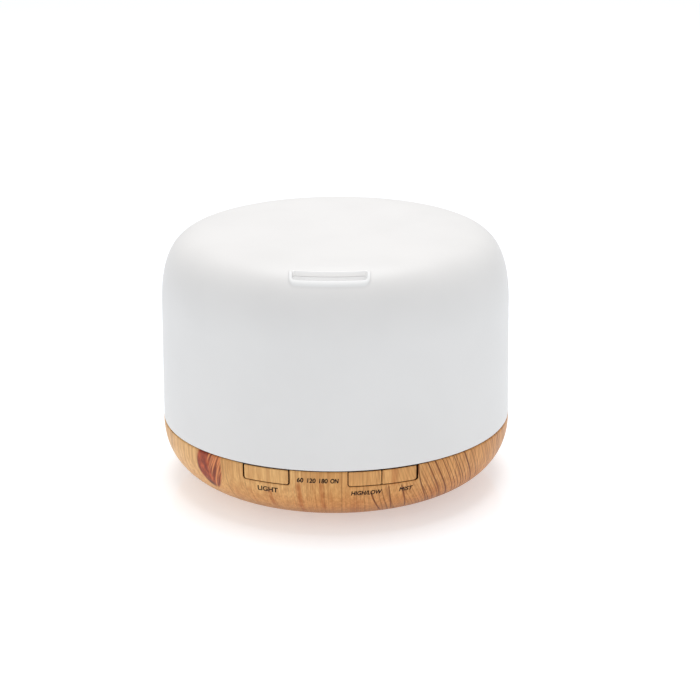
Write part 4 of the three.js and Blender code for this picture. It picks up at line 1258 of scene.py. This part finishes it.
    # single strong dark lines: angle at the top, lean, curve, from, to, half width, strength
    for a0, k1, k2, d0, d1, h, k in SINGLE_LINES:
        off = n.math("ABSOLUTE", S(deg, A(M(down, k1), A(M(sq(down), k2), a0))))
        m = M(n.span(off, h, h * 0.35, 0.0, k), win(down, d0, d1, 1.2))
        col = n.mix(m, col, dark)
    grainy = n.span(fib, 0.4, 0.62)
    col = n.mix(M(n.span(fib2, 0.38, 0.62), 0.3 * fine), col, lin(*WOOD["grain"]))
    col = n.mix(M(grainy, 0.3 * fine), col, lin(*WOOD["grain"]))
    col = n.mix(n.span(faint_v, 0.0, 0.55, 0.0, 0.9 * fine, smooth=False), col, lin(*WOOD["faint"]))
    col = n.mix(n.span(thin_v, 0.0, 0.72, 0.0, 1.0, smooth=False), col, dark)
    # short dark pores
    pores = n.noise(1.0, 1, 0.5, vector=n.scaled(2600.0, 2600.0, 150.0))
    col = n.mix(n.span(pores, 0.7, 0.8, 0.0, 0.25 * fine), col, lin(120, 66, 38))
    # the red-brown knot left of the light button: mottled on its left side, streaked on its right
    wob = M(S(mid, 0.5), 1.2)
    edge_l = A(-48.7, A(M(sq(n.math("MAXIMUM", S(8.0, down), 0.0)), 0.022), M(sq(below(8.0)), 0.046)))
    edge_r = S(-37.3, M(sq(below(7.0)), 0.036))
    inside = M(n.span(S(deg, A(edge_l, wob)), -0.7, 0.7), n.span(S(deg, A(edge_r, wob)), -0.35, 0.35, 1.0, 0.0))
    inside = M(inside, n.span(down, 16.3, 19.3, 1.0, 0.0))
    uk = A(deg, M(down, 0.34))
    streak = n.noise(1.0, 2, 0.6, vector=n.vec(M(uk, 1.05), M(down, 0.05), 3.7))
    mott = n.noise(300.0, 3, 0.65, vector=n.scaled(1.0, 1.0, 0.6))
    kcol = n.mix(n.span(mott, 0.36, 0.66), lin(*KNOT["dark"]), lin(*KNOT["core"]))
    kcol = n.mix(n.span(down, 4.5, 0.5, 0.0, 0.55), kcol, lin(*KNOT["top"]))
    kcol = n.mix(M(n.span(down, 12.0, 16.5), n.span(deg, -40.5, -43.5, 0.0, 0.85)), kcol, lin(*KNOT["foot"]))
    scol = n.mix(n.span(streak, 0.42, 0.58), lin(*KNOT["streak_dark"]), lin(*KNOT["streak_light"]))
    kcol = n.mix(n.span(A(deg, M(S(streak, 0.5), 5.0)), -43.8, -42.0, 0.0, 0.95), kcol, scol)
    col = n.mix(M(inside, 0.96), col, kcol)
    if tone:
        col = n.mix(tone, col, lin(*WOOD["pale"]))
    # painted contact shade: the lowest part of the bowl, next to the floor, is darkened
    col = n.mix(n.span(down, 17.5, 25.0, 0.0, 0.3), col, lin(96, 52, 30))
    # painted shade inside the gaps round the buttons: faces set back from the bowl's outer face are darkened
    h = n.math("MULTIPLY", S(zmm, BASE_Z), 1 / (SEAM_Z - BASE_Z), clamp=True)
    c = n.math("POWER", S(1.0, h), BASE_BOWL / 2)
    sn = n.math("SQRT", n.math("MAXIMUM", S(1.0, sq(c)), 0.0))
    r_face = A(M(n.math("POWER", sn, 2 / BASE_BOWL), BASE_R - BASE_FOOT_R), BASE_FOOT_R)
    r_here = M(n.math("SQRT", A(sq(x), sq(y))), 1000.0)
    inner = M(n.span(S(r_face, r_here), 0.3, 0.75), M(win(deg, -32.0, 32.0, 2.0), n.span(down, 10.0, 8.6, 0.0, 0.93)))
    col = n.mix(inner, col, lin(70, 34, 20))
    rough = A(n.span(grainy, 0.0, 1.0, 0.40, 0.47), M(thin_v, 0.06))
    relief = A(M(fib, 0.5), M(thin_v, -0.8))
    return n.finish(col, rough, n.bump(relief, 0.22, 0.00005), 0.0, Specular_IOR_Level=0.26)


def transducer_metal():
    n = Nodes("transducer_plating")
    x, y, z = n.xyz()
    r = n.math("MULTIPLY", n.math("SQRT", n.math("ADD", n.math("MULTIPLY", x, x), n.math("MULTIPLY", y, y))), 1000.0)
    turn = n.math("FRACT", n.math("MULTIPLY", r, 3.0))
    lap = n.noise(700.0, 3, 0.6)
    rim = n.span(n.math("ABSOLUTE", n.math("SUBTRACT", r, 6.2)), 0.5, 0.1)
    c = n.mix(rim, lin(196, 198, 194), lin(160, 160, 152))
    c = n.mix(n.span(lap, 0.5, 0.75, 0.0, 0.35), c, lin(176, 172, 160))
    h = n.math("ADD", n.math("MULTIPLY", turn, 0.3), lap)
    return n.finish(c, n.span(lap, 0.3, 0.7, 0.2, 0.34), n.bump(h, 0.15, 0.00003), 1.0)


def circuit_board():
    n = Nodes("circuit_board_mask")
    brick = n.t.nodes.new("ShaderNodeTexBrick")
    n.put(brick.inputs["Vector"], n.scaled(1.0, 1.0, 1.0))
    brick.inputs["Scale"].default_value = 260.0
    brick.inputs["Mortar Size"].default_value = 0.06
    brick.inputs["Color1"].default_value = (0.012, 0.12, 0.05, 1)
    brick.inputs["Color2"].default_value = (0.016, 0.15, 0.06, 1)
    brick.inputs["Mortar"].default_value = (0.03, 0.24, 0.1, 1)
    weave = n.noise(900.0, 2, 0.5)
    c = n.mix(n.span(weave, 0.4, 0.7, 0.0, 0.3), brick.outputs["Color"], (0.006, 0.07, 0.03))
    pads = n.voronoi(240.0)
    c = n.mix(n.span(pads, 0.12, 0.08), c, lin(206, 196, 170))
    return n.finish(c, n.span(weave, 0.3, 0.7, 0.28, 0.4), n.bump(brick.outputs["Fac"], 0.2, 0.00005), 0.0)


def ink(name, color):
    n = Nodes(name)
    worn = n.noise(2400.0, 3, 0.6)
    c = n.mix(n.span(worn, 0.35, 0.75), color, tuple(min(1, x * 1.9 + 0.01) for x in color))
    return n.finish(c, n.span(worn, 0.3, 0.7, 0.42, 0.56), n.bump(worn, 0.2, 0.00002), 0.0, Specular_IOR_Level=0.12)


def rubber(name, color, rough=0.8):
    n = Nodes(name)
    dust = n.noise(900.0, 4, 0.7)
    c = n.mix(n.span(dust, 0.45, 0.8), color, tuple(min(1, x * 1.6 + 0.02) for x in color))
    return n.finish(c, n.span(dust, 0.3, 0.7, rough - 0.08, rough + 0.06), n.bump(dust, 0.35, 0.00006), 0.0)


def winding():
    n = Nodes("inductor_winding")
    x, y, z = n.xyz()
    f = n.math("FRACT", n.math("MULTIPLY", z, 1650.0))
    band = n.math("SINE", n.math("MULTIPLY", f, math.pi))
    lap = n.noise(800.0, 2, 0.5)
    # painted shade and highlight: each turn of wire is lighter across its middle and darker where it meets the next
    # turn
    c = n.mix(n.span(band, 0.0, 1.0), lin(96, 44, 20), lin(196, 112, 60))
    c = n.mix(n.span(lap, 0.5, 0.8, 0.0, 0.4), c, lin(140, 72, 34))
    return n.finish(c, n.span(lap, 0.3, 0.7, 0.25, 0.4), n.bump(band, 0.9, 0.0003), 0.85)


def floor_material():
    """White acrylic sheet lit a little from below, with a soft gloss."""
    n = Nodes("studio_floor")
    s = n.noise(3.0, 2, 0.5)
    c = n.mix(n.span(s, 0.3, 0.7), (0.815, 0.86, 0.90), (0.835, 0.88, 0.92))
    m = n.finish(c, 0.14, None, 0.0, Specular_IOR_Level=0.3)
    n.b.inputs["Emission Color"].default_value = (0.985, 0.99, 1.0, 1)
    n.b.inputs["Emission Strength"].default_value = 0.42
    return m


MAT = {
    "cover_white": cover_plastic(),
    "chute_white": chute_plastic(),
    "tank_white": moulded("tank_plastic", (0.84, 0.84, 0.82), 0.3, 0.008, 2200.0, 0.1, 0.00002, 0.5),
    "base_wood_print": wood_print("wood_grain_print"),
    "button_wood_print": wood_print("wood_grain_print_buttons", 0.1, 1.0),
    "bottom_plastic": moulded("underside_plastic", lin(236, 231, 222), 0.6, 0.02, 1300.0, 0.6, 0.00006, 0.4),
    "channel_plastic": moulded("channel_plastic", lin(232, 230, 224), 0.5, 0.015),
    "rubber": rubber("foot_rubber", (0.028, 0.028, 0.03)),
    "silicone": rubber("silicone_seal", lin(214, 214, 208), 0.55),
    "transducer_disc": transducer_metal(),
    "clamp_steel": metal("clamp_steel", lin(186, 188, 190), 0.3, (700.0, 60.0, 700.0)),
    "screw_steel": metal("screw_steel", lin(190, 192, 194), 0.28, (500.0, 500.0, 500.0), 0.1),
    "circuit_board": circuit_board(),
    "led_lens": moulded("led_lens", lin(246, 243, 226), 0.2, 0.01),
    "fan_black": moulded("fan_plastic", (0.018, 0.018, 0.02), 0.42, 0.06, 1500.0, 0.4, 0.00005),
    "component_black": moulded("component_plastic", (0.012, 0.012, 0.013), 0.38, 0.08, 1500.0, 0.35, 0.00005),
    "switch_plunger": moulded("plunger_plastic", (0.03, 0.03, 0.032), 0.5, 0.06),
    "pin_metal": metal("socket_metal", lin(206, 206, 202), 0.22, (60.0, 900.0, 900.0)),
    "heat_sink_aluminium": metal("heat_sink_aluminium", lin(206, 208, 212), 0.36, (60.0, 60.0, 900.0), 0.3),
    "inductor_copper": winding(),
    "wire_red": moulded("red_insulation", lin(176, 30, 24), 0.4, 0.03),
    "wire_black": moulded("black_insulation", (0.02, 0.02, 0.022), 0.42, 0.05),
    "print_ink": ink("legend_ink", lin(26, 10, 5)),
    "floor": floor_material(),
}


def dress(o, key):
    o.data.materials.clear()
    o.data.materials.append(MAT[key])


record_slots = {d["node"]: d["material_slot"] for d in frame["record"]["subparts"]}
for node_name, node in NODES.items():
    node.data.materials.clear()
    node.data.materials.append(MAT[record_slots[node_name]])


def place(o, body, slot, mat=None, nodes=()):
    dress(o, mat or slot)
    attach(o, body)
    if nodes:
        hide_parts(*nodes)
    return o


# ------------------------------------------------------------------ the object
place(build_cover(), "cover", "cover_white", nodes=("outer_cover",))
place(build_chute(), "cover", "cover_white", mat="chute_white", nodes=("mist_chute",))
place(build_base(), "base", "base_wood_print", nodes=("base_shell",))
for key_name, key in KEYS.items():
    place(build_button(key_name, key), key_name, "base_wood_print", mat="button_wood_print", nodes=(key_name,))
for text, deg, z, height, width, name in (
    ("LIGHT", -20.3, 20.15, 2.55, 9.8, "legend_light"),
    ("HIGH/LOW", 11.4, 20.1, 2.2, 13.7, "legend_high_low"),
    ("MIST", 24.4, 19.9, 2.1, 6.3, "legend_mist"),
    ("60", -9.3, 26.8, 2.15, 2.8, "legend_60"),
    ("120", -5.75, 26.8, 2.15, 3.65, "legend_120"),
    ("180", -2.05, 26.8, 2.15, 3.65, "legend_180"),
    ("ON", 1.3, 26.8, 2.15, 3.5, "legend_on"),
):
    place(legend(text, deg, z, height, width, name), "base", "base_wood_print", mat="print_ink")
place(build_tank(), "base", "tank_white", nodes=("water_tank",))
place(build_level_marks(), "base", "tank_white")
hood, hood_rib = build_hood()
place(hood, "base", "tank_white", nodes=("air_duct_hood",))
place(hood_rib, "base", "tank_white")
disc, seal = build_transducer()
place(disc, "base", "transducer_disc", nodes=("ultrasonic_transducer",))
place(seal, "base", "silicone", nodes=("transducer_gasket",))
plate, pillars = build_plate()
place(plate, "base", "bottom_plastic", nodes=("bottom_plate",))
place(pillars, "base", "bottom_plastic")
for k, (x, y) in enumerate(FEET, 1):
    place(build_foot(k, x, y), "base", "rubber", nodes=(f"rubber_foot_{k}",))
for k, (x, y) in enumerate(CASE_SCREWS, 1):
    place(build_screw(f"case_screw_head_{k}", x, y, 1.8, 2.8, 1.0, 1.3, 13.0, 20 + 33 * k), "base", "screw_steel", nodes=(f"case_screw_{k}",))
for k, y in enumerate((16, -16), 1):
    place(build_screw(f"fan_screw_head_{k}", FAN_X - 16, y, 2.6, 2.6, 1.5, 1.35, 13.0, 50 * k), "base", "screw_steel", nodes=(f"fan_screw_{k}",))
barrel, housing, pin, leaf = build_socket()
place(barrel, "base", "component_black", nodes=("power_socket",))
place(housing, "base", "component_black")
place(pin, "base", "pin_metal", nodes=("power_socket_pin",))
place(leaf, "base", "pin_metal")
place(build_rotor(), "fan_rotor", "fan_black", nodes=("fan_rotor",))

# ------------------------------------------------------------------ floor, light and camera
bpy.ops.mesh.primitive_plane_add(size=16.0, location=(0, 4.0, 0))
floor = bpy.context.object
floor.name = "floor"
floor.data.materials.append(MAT["floor"])

world = bpy.data.worlds.new("studio")
bpy.context.scene.world = world
world.use_nodes = True
bg = world.node_tree.nodes["Background"]
bg.inputs[0].default_value = (1.0, 1.0, 1.0, 1)
bg.inputs[1].default_value = 0.57


def area(name, loc, target, size, power, color=(1, 1, 1)):
    l = bpy.data.lights.new(name, "AREA")
    l.shape, l.size, l.energy, l.color = "DISK", size, power, color
    o = bpy.data.objects.new(name, l)
    bpy.context.scene.collection.objects.link(o)
    o.location = loc
    o.rotation_euler = (Vector(target) - Vector(loc)).to_track_quat("-Z", "Y").to_euler()
    return o


area("top_softbox", (0.0, 0.3, 1.5), (0, 0.0, 0.05), 1.1, 13.3)
area("front_softbox", (-0.5, -1.6, 1.2), (0, 0, 0.06), 1.0, 1.2)
area("right_softbox", (1.5, -0.2, 0.8), (0, 0, 0.06), 1.0, 0.5)

cam_data = bpy.data.cameras.new("camera")
cam_data.lens, cam_data.sensor_width = 95.37, 36.0
cam_data.shift_x, cam_data.shift_y = 0.0204, 0.0006
cam = bpy.data.objects.new("camera", cam_data)
bpy.context.scene.collection.objects.link(cam)
TARGET, DIST, AZ, EL, ROLL = Vector((0, 0, 0.0607)), 0.9, math.radians(2.0), math.radians(18.385), math.radians(-0.417)
cam.location = TARGET + DIST * Vector((math.sin(AZ) * math.cos(EL), -math.cos(AZ) * math.cos(EL), math.sin(EL)))
cam.rotation_euler = ((TARGET - cam.location).to_track_quat("-Z", "Y") @ Quaternion((0, 0, 1), ROLL)).to_euler()
bpy.context.scene.camera = cam
bpy.context.scene.view_settings.view_transform = "Standard"
